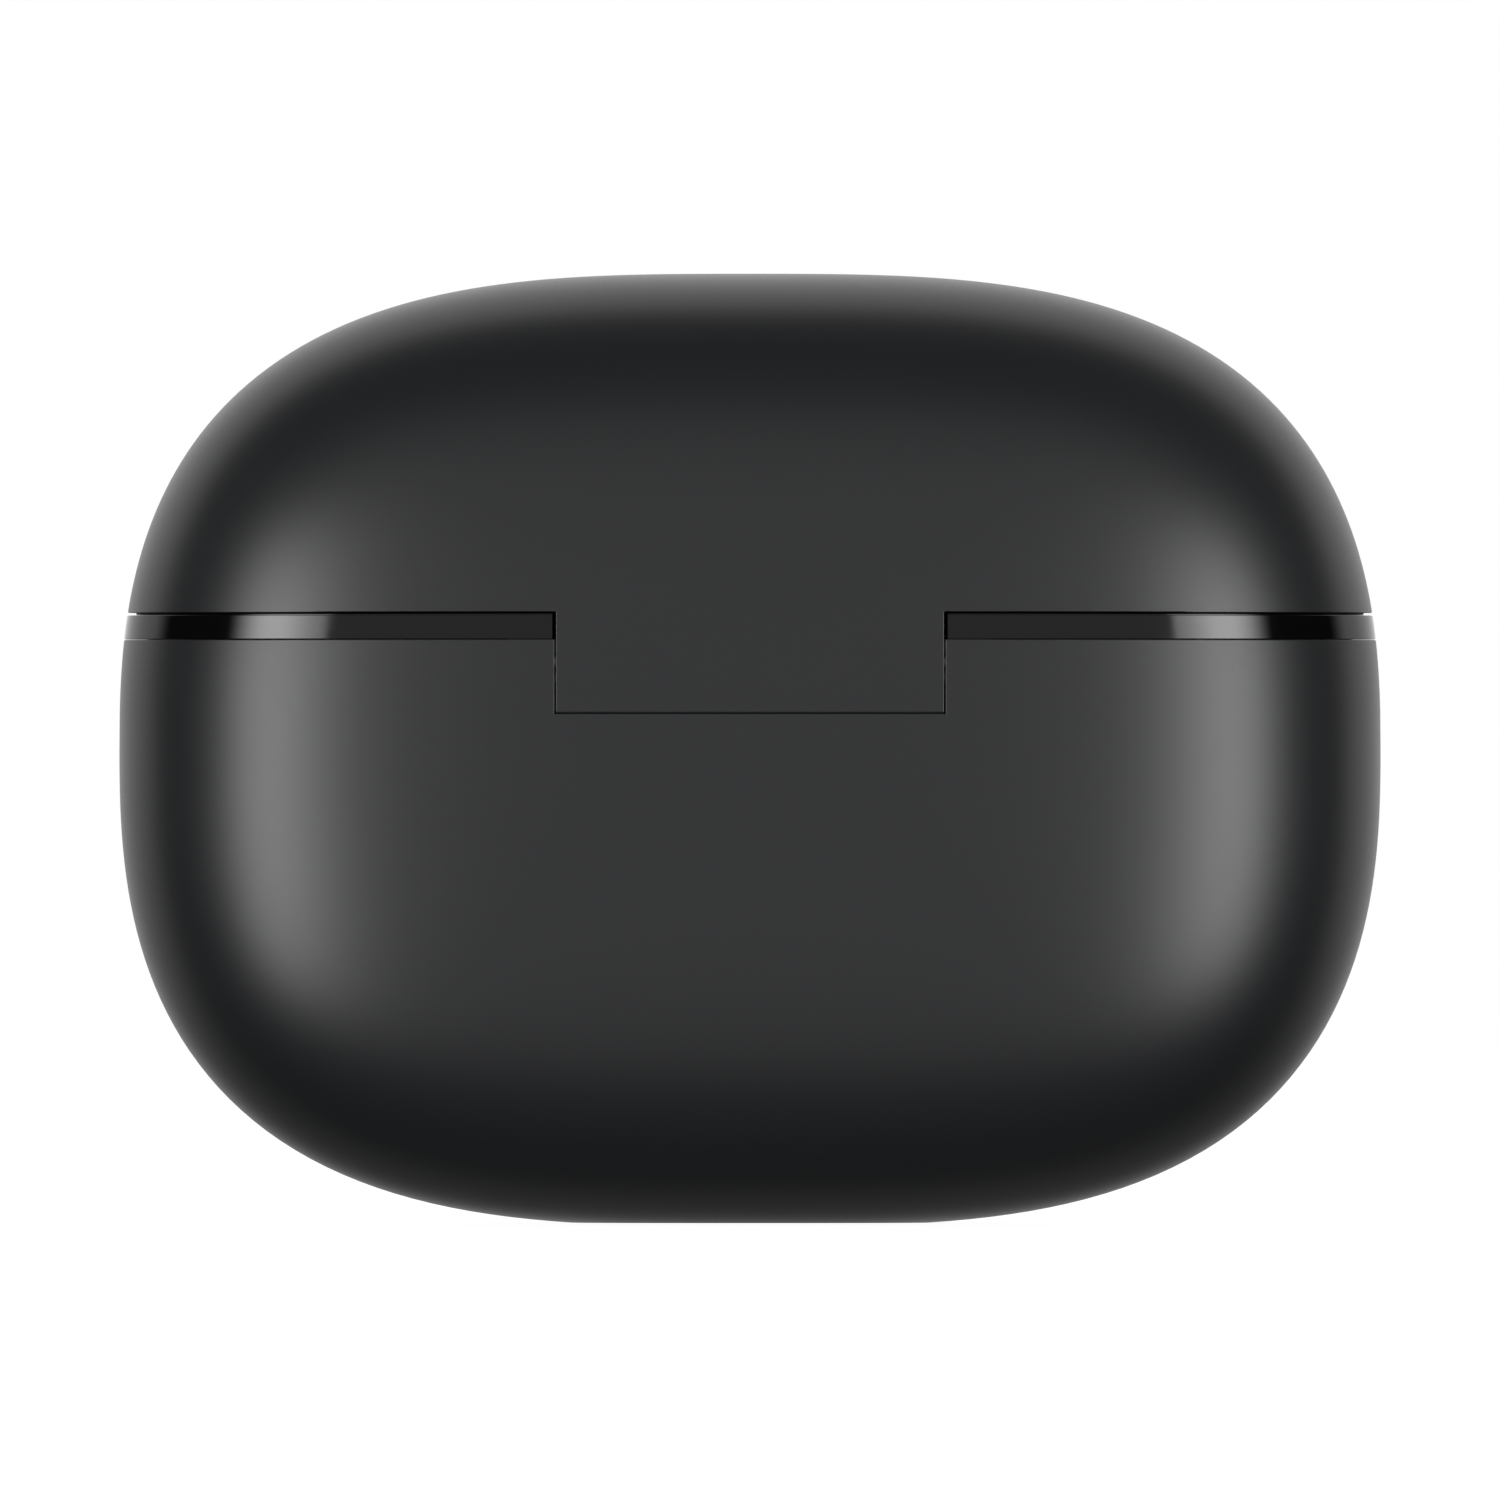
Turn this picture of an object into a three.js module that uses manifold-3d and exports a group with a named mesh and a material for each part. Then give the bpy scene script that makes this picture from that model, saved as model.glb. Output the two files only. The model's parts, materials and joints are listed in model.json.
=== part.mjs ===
// A wireless earbuds case, closed: a pebble-shaped shell in two halves joined by a
// hidden hinge, a cradle with two earbud pockets, and the charging electronics inside.
// Millimetres, +Z up. X is the width, the front faces -Y and the hinge is at the back,
// +Y. The origin is the middle of the small flat that the case stands on.
import * as THREE from 'three';
import { mergeVertices } from 'three/addons/utils/BufferGeometryUtils.js';
import Module from 'manifold-3d';

const wasm = await Module();
wasm.setup();

// ---- Outer form: |x/a|^EX + |y/c|^EY + |z/b|^EZ = 1 about the body's centre ----
const HALF_WIDTH = 34.0;
const HALF_DEPTH = 13.5;
const HALF_HEIGHT = 25.68;
const EX = 3.12;
const EY = 2.5;
const EZ = 2.57;
const FOOT_CUT = 0.2; // how much of the round bottom the flat foot takes off
const CENTRE_Z = HALF_HEIGHT - FOOT_CUT;
const FOOT_RING_DROP = 0.01; // the form's lowest ring of corners lies this far under the foot
const FORM_RINGS = 20;
const FORM_SIDES = 36;

// ---- Levels of the parting line, measured from the body's centre ----
const SEAM_Z = CENTRE_Z + 7.39; // lower edge of the lid
const BAND_TOP = CENTRE_Z + 7.25; // the gloss band shows between the two shells
const LIP_TOP = CENTRE_Z + 7.52; // the cradle's lip, inside the lid's edge
const BAND_BOTTOM = CENTRE_Z + 5.97;
const BASE_TOP = CENTRE_Z + 5.93;
const LIP_INSET = 0.45;
const REBATE_INSET = 0.4; // the lid's edge is stepped to clear the lip
const LINER_Z = LIP_TOP + 0.12;

// ---- Walls ----
const WALL = 1.1;
const FIT_INSET = 1.25; // inner pieces start this far inside the outer form
const SKIRT_INSET = 2.1;
const SKIRT_BOTTOM = 26.5;

// ---- Hinge: the lid's rear tongue swings inside a well in the base ----
const HINGE_Y = 11.0;
const HINGE_Z = CENTRE_Z + 4.72;
const TONGUE_HALF = 10.4;
const TONGUE_Z = CENTRE_Z + 2.05; // lower edge of the tongue
const NOTCH_HALF = 10.49;
const WELL_HALF = 10.6;
const TONGUE_R = Math.hypot(outerY(0, TONGUE_Z) - HINGE_Y, TONGUE_Z - HINGE_Z);
const WELL_R = TONGUE_R + 0.09;
const WELL_WALL = 0.85;
const PIN_R = 0.5;
const PIN_HALF = 12.7;
const PIN_BORE = 0.57;
const BLOCK_HALF = 13.0; // outer end of the blocks that hold the pin
const BLOCK_BACK = 12.15;
const KNUCKLE_R = 1.05;
const KNUCKLE_IN = 3.6; // the knuckles lie between these two distances from the middle
const KNUCKLE_OUT = 10.1;
const ARM_TOP = CENTRE_Z + 13.0;
const ARM_BOTTOM = CENTRE_Z + 2.75;
const ARM_INSET = 1.95;
const ARM_SCREW_X = 7.0;
const ARM_SCREW_Z = CENTRE_Z + 10.5;
const ARM_SCREW = { headR: 1.0, shankR: 0.42, holeR: 0.55, headY: 9.9, shankY: 10.4, tipY: 12.3 };
const SWING_REACH = 24.2; // the seam bends away from the hinge up to this far from the middle
const BLOCK_FRONT = 9.2;
const BLOCK_BOTTOM = HINGE_Z - 1.4;
const BLOCK_GAP = 0.15;
const JOIN = 0.3; // how far joined pieces of one moulding run into each other

// ---- Earbud pockets: a bowl for the head and a slot for the stem ----
const BOWL = { x: 16.6, y: -0.6, z: LIP_TOP + 0.2, rx: 8.4, ry: 7.4, rz: 11.5 };
const BOWL_WALL = 1.0;
const STEM = { x: 19.6, y: 0, rx: 3.6, ry: 3.9, floor: 10.2 };
const STEM_TOP = 27.0;
const RECESS_RISE = 8.5; // height of the lid's domed recess over each pocket
const RECESS_WALL = 0.9;
const FLANGE_THICK = 1.1;

// ---- Spring-loaded charging contacts ----
const CONTACT_PITCH = 3.0;
const PLUNGER_R = 0.42;
const PLUNGER_RISE = 0.8;
const BARREL_R = 0.85;
const BARREL_BORE = 0.6;
const CONTACT_BOARD_Z = 5.3;

// ---- Pair button, between the pockets ----
const BUTTON_Y = -1.0;
const BUTTON_R = 2.5;
const BUTTON_HOLE_R = 2.7;

// ---- Charging port in the bottom ----
const PORT_HALF = 4.6;
const PORT_R = 1.75;
const SOCKET_HALF = 4.47;
const SOCKET_R = 1.63;
const SOCKET_WALL = 0.3;

// ---- Light window in the front ----
const LIGHT_R = 0.8;
const LIGHT_Z = 29.15;

// Rear surface of the outer form at a given x and height.
function outerY(x, z) {
  const rest = 1 - Math.abs(x / HALF_WIDTH) ** EX - Math.abs((z - CENTRE_Z) / HALF_HEIGHT) ** EZ;
  return HALF_DEPTH * Math.max(rest, 0) ** (1 / EY);
}

// ---- Solids ----

// A three.js geometry as a manifold solid.
function solid(geometry) {
  const bare = geometry.clone();
  bare.deleteAttribute('normal');
  bare.deleteAttribute('uv');
  const merged = mergeVertices(bare, 1e-4);
  const corners = merged.index.array;
  const triangles = [];
  for (let i = 0; i < corners.length; i += 3) {
    const [a, b, c] = [corners[i], corners[i + 1], corners[i + 2]];
    const collapsed = a === b || b === c || c === a;
    if (!collapsed) {
      triangles.push(a, b, c);
    }
  }
  return new wasm.Manifold(new wasm.Mesh({
    numProp: 3,
    vertProperties: new Float32Array(merged.attributes.position.array),
    triVerts: new Uint32Array(triangles),
  }));
}

// The outer form, drawn in by an inset: a unit sphere with each axis raised to a power.
// One of the sphere's rings lies at the foot, so that the flat comes out full size.
function form(inset = 0) {
  const footRing = Math.acos(((CENTRE_Z + FOOT_RING_DROP) / HALF_HEIGHT) ** (EZ / 2));
  const rings = [0, footRing];
  for (let i = 1; i < FORM_RINGS; i += 1) {
    rings.push((Math.PI * i) / FORM_RINGS);
  }
  rings.push(Math.PI - footRing, Math.PI);
  const profile = rings.map((angle) => new THREE.Vector2(Math.sin(angle), -Math.cos(angle)));
  const geometry = new THREE.LatheGeometry(profile, FORM_SIDES);
  geometry.rotateX(Math.PI / 2);
  const points = geometry.attributes.position;
  const along = (value, half, power) => Math.sign(value) * (half - inset) * Math.abs(value) ** (2 / power);
  for (let i = 0; i < points.count; i += 1) {
    points.setXYZ(
      i,
      along(points.getX(i), HALF_WIDTH, EX),
      along(points.getY(i), HALF_DEPTH, EY),
      along(points.getZ(i), HALF_HEIGHT, EZ) + CENTRE_Z,
    );
  }
  return solid(geometry);
}

function box(x0, x1, y0, y1, z0, z1) {
  const geometry = new THREE.BoxGeometry(x1 - x0, y1 - y0, z1 - z0);
  geometry.translate((x0 + x1) / 2, (y0 + y1) / 2, (z0 + z1) / 2);
  return solid(geometry);
}

const FAR = 80;
const above = (z) => box(-FAR, FAR, -FAR, FAR, z, FAR);
const below = (z) => box(-FAR, FAR, -FAR, FAR, -FAR, z);

// Round rods along each axis, from one coordinate to the other.
function rodX(r, y, z, x0, x1, sides = 18) {
  const geometry = new THREE.CylinderGeometry(r, r, x1 - x0, sides);
  geometry.rotateZ(Math.PI / 2).translate((x0 + x1) / 2, y, z);
  return solid(geometry);
}

function rodY(r, x, z, y0, y1, sides = 16) {
  return solid(new THREE.CylinderGeometry(r, r, y1 - y0, sides).translate(x, (y0 + y1) / 2, z));
}

function rodZ(r, x, y, z0, z1, sides = 20) {
  const geometry = new THREE.CylinderGeometry(r, r, z1 - z0, sides);
  geometry.rotateX(Math.PI / 2).translate(x, y, (z0 + z1) / 2);
  return solid(geometry);
}

function ellipsoid(x, y, z, rx, ry, rz) {
  const geometry = new THREE.SphereGeometry(1, 20, 12);
  geometry.rotateX(Math.PI / 2).scale(rx, ry, rz).translate(x, y, z);
  return solid(geometry);
}

function ellipticRod(x, y, rx, ry, z0, z1) {
  const geometry = new THREE.CylinderGeometry(1, 1, z1 - z0, 20);
  geometry.rotateX(Math.PI / 2).scale(rx, ry, 1).translate(x, y, (z0 + z1) / 2);
  return solid(geometry);
}

// A flat-sided slot with round ends, long in X, standing along Z.
function stadium(half, r, z0, z1) {
  const outline = new THREE.Shape();
  outline.absarc(half - r, 0, r, -Math.PI / 2, Math.PI / 2);
  outline.absarc(r - half, 0, r, Math.PI / 2, 1.5 * Math.PI);
  const geometry = new THREE.ExtrudeGeometry(outline, { depth: z1 - z0, bevelEnabled: false, curveSegments: 8 });
  return solid(geometry.translate(0, 0, z0));
}

// A tube or wire of a given section along a curve.
function sweep(section, curve, steps) {
  return solid(new THREE.ExtrudeGeometry(section, { extrudePath: curve, steps, bevelEnabled: false }));
}

function roundSection(r, sides) {
  const section = new THREE.Shape();
  for (let i = 0; i < sides; i += 1) {
    const angle = (2 * Math.PI * i) / sides;
    const place = [r * Math.cos(angle), r * Math.sin(angle)];
    if (i === 0) {
      section.moveTo(...place);
    } else {
      section.lineTo(...place);
    }
  }
  section.closePath();
  return section;
}

const smooth = (points) => new THREE.CatmullRomCurve3(points.map((p) => new THREE.Vector3(...p)), false, 'centripetal');

// ---- The object ----
const group = new THREE.Group();

function add(name, body, color, roughness, metalness) {
  const mesh = body.getMesh();
  const geometry = new THREE.BufferGeometry();
  geometry.setAttribute('position', new THREE.BufferAttribute(mesh.vertProperties, 3));
  geometry.setIndex(new THREE.BufferAttribute(mesh.triVerts, 1));
  geometry.computeVertexNormals();
  const piece = new THREE.Mesh(geometry, new THREE.MeshStandardMaterial({ color, roughness, metalness }));
  piece.name = name;
  group.add(piece);
}

const SIDES = [['left', -1], ['right', 1]];
const CHARCOAL = '#37383a';
const GLOSS_BLACK = '#101012';
const SOFT_BLACK = '#1c1d1f';
const STEEL = '#b9bcc0';
const NICKEL = '#c9cbce';
const GOLD = '#d9b25a';
const BOARD_GREEN = '#14422f';
const CHIP_BLACK = '#17171a';

// The lid's swing: everything of the base near the hinge stays inside this turned form,
// and the lid is hollowed to it, so that the two halves pass each other all along the seam.
function swingForm(clearance) {
  const rise = SEAM_Z - HINGE_Z;
  const reach = SWING_REACH;
  const steps = 10;
  const profile = [new THREE.Vector2(0, -reach)];
  for (let i = 0; i <= steps; i += 1) {
    const x = reach * (-1 + (2 * i) / steps);
    const back = Math.max(outerY(x, SEAM_Z) - HINGE_Y, 0);
    profile.push(new THREE.Vector2(Math.hypot(back, rise) + clearance, x));
  }
  profile.push(new THREE.Vector2(0, reach));
  const geometry = new THREE.LatheGeometry(profile, 32);
  geometry.rotateZ(-Math.PI / 2).translate(0, HINGE_Y, HINGE_Z);
  return solid(geometry);
}

const wellRound = (r, half) => rodX(r, HINGE_Y, HINGE_Z, -half, half, 36);
const wellBack = (half, z) => box(-half, half, HINGE_Y, FAR, z, FAR);

// ---- Lid ----
function lidShell() {
  const tongue = wellRound(TONGUE_R, TONGUE_HALF).add(wellBack(TONGUE_HALF, HINGE_Z));
  const rear = box(-TONGUE_HALF, TONGUE_HALF, HINGE_Y, FAR, TONGUE_Z - 2, FAR);
  let shell = form().intersect(above(SEAM_Z).add(tongue.intersect(rear)));
  const besideTongue = swingForm(0.01).subtract(box(-TONGUE_HALF, TONGUE_HALF, 0, FAR, 0, FAR));
  shell = shell.subtract(form(WALL)).subtract(besideTongue);
  const step = form(REBATE_INSET).intersect(below(LINER_Z)).subtract(box(-WELL_HALF, WELL_HALF, 0, FAR, 0, FAR));
  shell = shell.subtract(step);
  for (const [, side] of SIDES) {
    shell = shell.subtract(rodY(ARM_SCREW.holeR, side * ARM_SCREW_X, ARM_SCREW_Z, 10, ARM_SCREW.tipY + 0.15, 12));
  }
  return shell;
}

function lidLiner() {
  const recess = (side, grow) => ellipsoid(
    side * BOWL.x,
    BOWL.y,
    LINER_Z,
    BOWL.rx + grow,
    BOWL.ry + grow,
    RECESS_RISE + grow,
  );
  let liner = below(LINER_Z + FLANGE_THICK);
  for (const [, side] of SIDES) {
    liner = liner.add(recess(side, RECESS_WALL));
  }
  liner = liner.intersect(above(LINER_Z)).intersect(form(FIT_INSET));
  for (const [, side] of SIDES) {
    liner = liner.subtract(recess(side, 0));
  }
  const besideArm = box(-TONGUE_HALF, TONGUE_HALF, 0, FAR, 0, FAR);
  const armSpace = form().subtract(form(SKIRT_INSET)).intersect(besideArm);
  return liner.subtract(armSpace).subtract(swingForm(0.06));
}

function hingeArm() {
  const band = form(FIT_INSET).subtract(form(ARM_INSET));
  let arm = band.intersect(box(-KNUCKLE_OUT, KNUCKLE_OUT, 0, FAR, ARM_BOTTOM, ARM_TOP));
  arm = arm.subtract(box(-KNUCKLE_IN, KNUCKLE_IN, 0, FAR, 0, HINGE_Z + 2.3));
  for (const [, side] of SIDES) {
    const ends = [side * KNUCKLE_IN, side * KNUCKLE_OUT].sort((a, b) => a - b);
    arm = arm.add(rodX(KNUCKLE_R, HINGE_Y, HINGE_Z, ...ends));
    arm = arm.subtract(rodY(ARM_SCREW.holeR, side * ARM_SCREW_X, ARM_SCREW_Z, 9, 13, 12));
  }
  return arm.subtract(rodX(PIN_BORE, HINGE_Y, HINGE_Z, -FAR, FAR));
}

add('lid_shell', lidShell(), CHARCOAL, 0.45, 0);
add('lid_liner', lidLiner(), SOFT_BLACK, 0.35, 0);
add('hinge_arm', hingeArm(), STEEL, 0.35, 1);

for (const [name, side] of SIDES) {
  const x = side * ARM_SCREW_X;
  const { headR, shankR, headY, shankY, tipY } = ARM_SCREW;
  const head = rodY(headR, x, ARM_SCREW_Z, headY, shankY + 0.1, 16);
  const screw = head.add(rodY(shankR, x, ARM_SCREW_Z, shankY, tipY, 12));
  add(`arm_screw_${name}`, screw, STEEL, 0.3, 1);
}

const CLOSURE_MAGNET = { x: 6.5, halfX: 2.4, height: 1.6, lidY: [-11.2, -9.5], baseY: [-10.5, -8.9], baseZ: 29.7 };
for (const [name, side] of SIDES) {
  const x = side * CLOSURE_MAGNET.x;
  const z = LINER_Z + FLANGE_THICK + 0.1;
  const { halfX, height, lidY } = CLOSURE_MAGNET;
  add(`lid_magnet_${name}`, box(x - halfX, x + halfX, ...lidY, z, z + height), NICKEL, 0.25, 1);
}

const SENSOR_Y = -5.0;
const SENSOR_MAGNET_Z = LINER_Z + FLANGE_THICK + 0.1;
add('sensor_magnet', rodZ(1.2, 0, SENSOR_Y, SENSOR_MAGNET_Z, SENSOR_MAGNET_Z + 1.2, 16), NICKEL, 0.25, 1);

// ---- Base shell ----
function baseShell() {
  let shell = form().intersect(box(-FAR, FAR, -FAR, FAR, 0, BASE_TOP)).subtract(form(WALL));
  shell = shell.subtract(wellRound(WELL_R, NOTCH_HALF)).subtract(wellBack(NOTCH_HALF, HINGE_Z));
  for (const [, side] of SIDES) {
    const ends = [side * (NOTCH_HALF - 0.5), side * (BLOCK_HALF + BLOCK_GAP)].sort((a, b) => a - b);
    const room = box(...ends, BLOCK_FRONT - BLOCK_GAP, BLOCK_BACK + BLOCK_GAP, BLOCK_BOTTOM - BLOCK_GAP, FAR);
    shell = shell.subtract(room);
  }
  shell = shell.subtract(stadium(PORT_HALF, PORT_R, -1, 3));
  return shell.subtract(rodY(LIGHT_R + 0.1, 0, LIGHT_Z, -20, -10));
}

// ---- Cradle: gloss band, deck, two pocket cups, the hinge well and the pin blocks ----
function pocketOuter(side) {
  const { x, y, z, rx, ry, rz } = BOWL;
  const wall = BOWL_WALL;
  const bowl = ellipsoid(side * x, y, z, rx + wall, ry + wall, rz + wall).intersect(below(BAND_BOTTOM + 0.5));
  const stem = ellipticRod(side * STEM.x, STEM.y, STEM.rx + wall, STEM.ry + wall, STEM.floor - wall, STEM_TOP);
  return bowl.add(stem);
}

function pocketInner(side) {
  const { x, y, z, rx, ry, rz } = BOWL;
  const stem = ellipticRod(side * STEM.x, STEM.y, STEM.rx, STEM.ry, STEM.floor, STEM_TOP);
  return ellipsoid(side * x, y, z, rx, ry, rz).add(stem);
}

function contactXs(side) {
  return [-0.5, 0.5].map((step) => side * STEM.x + step * CONTACT_PITCH);
}

function cradle() {
  const band = form().intersect(box(-FAR, FAR, -FAR, FAR, BAND_BOTTOM, BAND_TOP));
  const lip = form(LIP_INSET).intersect(box(-FAR, FAR, -FAR, FAR, BAND_BOTTOM, LIP_TOP));
  const skirt = form(FIT_INSET).subtract(form(SKIRT_INSET));
  let body = band.add(lip).add(skirt.intersect(box(-FAR, FAR, -FAR, FAR, SKIRT_BOTTOM, BAND_BOTTOM + JOIN)));
  const trough = rodX(WELL_R + WELL_WALL, HINGE_Y, HINGE_Z, -WELL_HALF - 1, WELL_HALF + 1, 36);
  body = body.add(trough.intersect(form(FIT_INSET)).intersect(below(BAND_BOTTOM + JOIN)));
  for (const [, side] of SIDES) {
    const ends = [side * WELL_HALF, side * BLOCK_HALF].sort((a, b) => a - b);
    body = body.add(box(...ends, BLOCK_FRONT, BLOCK_BACK, BLOCK_BOTTOM, BAND_BOTTOM + JOIN));
    body = body.add(pocketOuter(side));
  }
  body = body.subtract(wellRound(WELL_R, WELL_HALF)).subtract(wellBack(WELL_HALF, HINGE_Z - 2));
  body = body.subtract(rodX(PIN_BORE, HINGE_Y, HINGE_Z, -PIN_HALF - 0.1, PIN_HALF + 0.1));
  for (const [, side] of SIDES) {
    body = body.subtract(pocketInner(side));
    for (const x of contactXs(side)) {
      body = body.subtract(rodZ(0.6, x, STEM.y, 5, STEM.floor + 1, 12));
    }
  }
  body = body.subtract(rodZ(BUTTON_HOLE_R, 0, BUTTON_Y, BAND_BOTTOM - 1, FAR, 28));
  return body.subtract(rodY(LIGHT_R + 0.15, 0, LIGHT_Z, -20, -9));
}

add('base_shell', baseShell(), CHARCOAL, 0.45, 0);
add('cradle', cradle(), GLOSS_BLACK, 0.12, 0);
add('hinge_pin', rodX(PIN_R, HINGE_Y, HINGE_Z, -PIN_HALF, PIN_HALF, 16), STEEL, 0.25, 1);

// The closing spring: a coil round the pin, one leg on the arm and one on the well's wall.
function torsionSpring() {
  const coilR = 0.95;
  const coilHalf = 2.7;
  const turns = 5;
  const stepsPerTurn = 10;
  const startAngle = THREE.MathUtils.degToRad(158);
  const endAngle = THREE.MathUtils.degToRad(90 + 360 * turns);
  const points = [[coilHalf + 0.15, HINGE_Y, HINGE_Z + 2.85]];
  for (let i = 0; i <= turns * stepsPerTurn; i += 1) {
    const share = i / (turns * stepsPerTurn);
    const angle = startAngle + share * (endAngle - startAngle);
    const x = coilHalf * (1 - 2 * share);
    points.push([x, HINGE_Y + coilR * Math.cos(angle), HINGE_Z + coilR * Math.sin(angle)]);
  }
  points.push([-coilHalf - 0.15, HINGE_Y - 3.5, HINGE_Z + 1.0]);
  return sweep(roundSection(0.17, 5), smooth(points), turns * stepsPerTurn + 8);
}
add('torsion_spring', torsionSpring(), STEEL, 0.3, 1);

// The lower closing magnets are in front, the magnets that hold the earbuds behind the bowls.
const BUD_MAGNET = { halfX: 2.4, y: [8.6, 10.3], z: [23.8, 27.2] };
for (const [name, side] of SIDES) {
  const x = side * CLOSURE_MAGNET.x;
  const { halfX, height, baseY, baseZ } = CLOSURE_MAGNET;
  add(`base_magnet_${name}`, box(x - halfX, x + halfX, ...baseY, baseZ, baseZ + height), NICKEL, 0.25, 1);
  const budX = side * BOWL.x;
  const budBox = box(budX - BUD_MAGNET.halfX, budX + BUD_MAGNET.halfX, ...BUD_MAGNET.y, ...BUD_MAGNET.z);
  add(`bud_magnet_${name}`, budBox, NICKEL, 0.25, 1);
}

// ---- Battery ----
const TRAY = { halfX: 14.3, y0: -7.8, y1: 0.9, z0: 8.3, z1: 20.6, wall: 0.8 };
const CELL = { halfX: 13.3, y: [-7.6, -0.15], z: [9.3, 18.4] };
const PAD = { halfX: 10, y: [-9.4, -7.9], z: [10.5, 17.8] };
const LEAD_NOTCH = { x: [6.6, 11.6], y0: -5, depth: 2 }; // where the leads leave the tray
const BOARD_Y = 1.75;
const BOARD_THICK = 0.8;
const BOARD_BACK = BOARD_Y + BOARD_THICK;
const BOARD_SCREW_X = 12.2;
const BOARD_SCREW_Z = 18.2;

function batteryTray() {
  const { halfX, y0, y1, z0, z1, wall } = TRAY;
  let tray = box(-halfX, halfX, y0, y1, z0, z1);
  tray = tray.subtract(box(wall - halfX, halfX - wall, y0 - 1, y1 - wall, z0 + wall, z1 - wall));
  tray = tray.subtract(box(...LEAD_NOTCH.x, LEAD_NOTCH.y0, y1 + 1, z1 - LEAD_NOTCH.depth, z1 + 1));
  for (const [, side] of SIDES) {
    const x = side * BOARD_SCREW_X;
    tray = tray.add(rodY(1.5, x, BOARD_SCREW_Z, y1 - 0.3, BOARD_Y - 0.05));
    tray = tray.subtract(rodY(0.6, x, BOARD_SCREW_Z, y1 - 1.2, BOARD_Y + 1, 12));
  }
  return tray;
}
add('battery_tray', batteryTray(), '#2c2d30', 0.6, 0);
add('battery_cell', box(-CELL.halfX, CELL.halfX, ...CELL.y, ...CELL.z), '#8a8d92', 0.4, 0.6);
add('battery_pad', box(-PAD.halfX, PAD.halfX, ...PAD.y, ...PAD.z), '#26262a', 0.9, 0);

const PLUG = { x: 9.2, z0: 13.4, z1: 16.4 };
const LEADS = [['positive', -0.8, '#a32020'], ['negative', 0.8, '#18181a']];
for (const [name, offset, color] of LEADS) {
  const x = PLUG.x + offset;
  const lead = smooth([
    [x, -3.0, 18.75],
    [x, -2.7, 20.6],
    [x, -0.6, 22.2],
    [x, 2.4, 21.6],
    [x, 4.0, 19.2],
    [x, 4.0, PLUG.z1 + 0.05],
  ]);
  add(`battery_lead_${name}`, sweep(roundSection(0.36, 6), lead, 12), color, 0.6, 0);
}

// ---- Main board ----
const MAIN_BOARD = { halfX: 14, z: [2.4, 20.0] };

function mainBoard() {
  let board = box(-MAIN_BOARD.halfX, MAIN_BOARD.halfX, BOARD_Y, BOARD_BACK, ...MAIN_BOARD.z);
  for (const [, side] of SIDES) {
    board = board.subtract(rodY(0.8, side * BOARD_SCREW_X, BOARD_SCREW_Z, 0, 5, 14));
  }
  return board;
}
add('main_board', mainBoard(), BOARD_GREEN, 0.5, 0);

for (const [name, side] of SIDES) {
  const x = side * BOARD_SCREW_X;
  const head = rodY(1.2, x, BOARD_SCREW_Z, BOARD_BACK + 0.05, BOARD_BACK + 0.65, 16);
  const shank = rodY(0.48, x, BOARD_SCREW_Z, TRAY.y1 - 0.75, BOARD_BACK + 0.2, 12);
  add(`board_screw_${name}`, head.add(shank), STEEL, 0.3, 1);
}

const ON_BOARD = BOARD_BACK + 0.04;
const partOnBoard = (x0, x1, z0, z1, thick) => box(x0, x1, ON_BOARD, ON_BOARD + thick, z0, z1);
add('battery_plug', partOnBoard(PLUG.x - 2, PLUG.x + 2, PLUG.z0, PLUG.z1, 2.6), '#e6e2d6', 0.5, 0);
add('controller_chip', partOnBoard(-3.2, 2.0, 9.6, 14.8, 0.8), CHIP_BLACK, 0.5, 0);
add('charge_chip', partOnBoard(-9.8, -6.6, 11.0, 14.2, 0.8), CHIP_BLACK, 0.5, 0);
add('power_inductor', partOnBoard(-9.9, -6.5, 5.6, 9.0, 1.8), '#3a3a3e', 0.7, 0);

// ---- Charging socket ----
function socketShell() {
  const inner = stadium(SOCKET_HALF - SOCKET_WALL, SOCKET_R - SOCKET_WALL, 0, 10);
  return stadium(SOCKET_HALF, SOCKET_R, 0.4, 7.7).subtract(inner);
}

function socketTongue() {
  const plug = stadium(SOCKET_HALF - SOCKET_WALL - 0.1, SOCKET_R - SOCKET_WALL - 0.1, 6.2, 7.6);
  return plug.add(box(-3.35, 3.35, -0.35, 0.35, 1.6, 6.4));
}
add('usb_shell', socketShell(), NICKEL, 0.3, 1);
add('usb_tongue', socketTongue(), CHIP_BLACK, 0.5, 0);

// ---- Deck board, under the pair button ----
const DECK_BOARD = { halfX: 6.7, y0: -9.2, y1: 4.0, z0: 28.2, z1: 28.8 };
const ON_DECK = DECK_BOARD.z1 + 0.04;
const { halfX: deckHalf, y0: deckFront, y1: deckBack, z0: deckUnder, z1: deckTop } = DECK_BOARD;
add('deck_board', box(-deckHalf, deckHalf, deckFront, deckBack, deckUnder, deckTop), BOARD_GREEN, 0.5, 0);

const switchBody = box(-1.6, 1.6, BUTTON_Y - 1.6, BUTTON_Y + 1.6, ON_DECK, ON_DECK + 0.75);
add('tact_switch', switchBody.add(rodZ(0.75, 0, BUTTON_Y, ON_DECK + 0.5, 29.9, 12)), CHIP_BLACK, 0.4, 0);
add('hall_sensor', box(-0.8, 0.8, SENSOR_Y - 0.6, SENSOR_Y + 0.6, ON_DECK, ON_DECK + 0.6), CHIP_BLACK, 0.5, 0);
add('status_led', box(-0.8, 0.8, -9.1, -8.3, ON_DECK, ON_DECK + 0.6), '#f1efe4', 0.3, 0);
add('light_pipe', rodY(LIGHT_R, 0, LIGHT_Z, -20, -9.3, 16).intersect(form(0.02)), '#d8dade', 0.2, 0);

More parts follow.
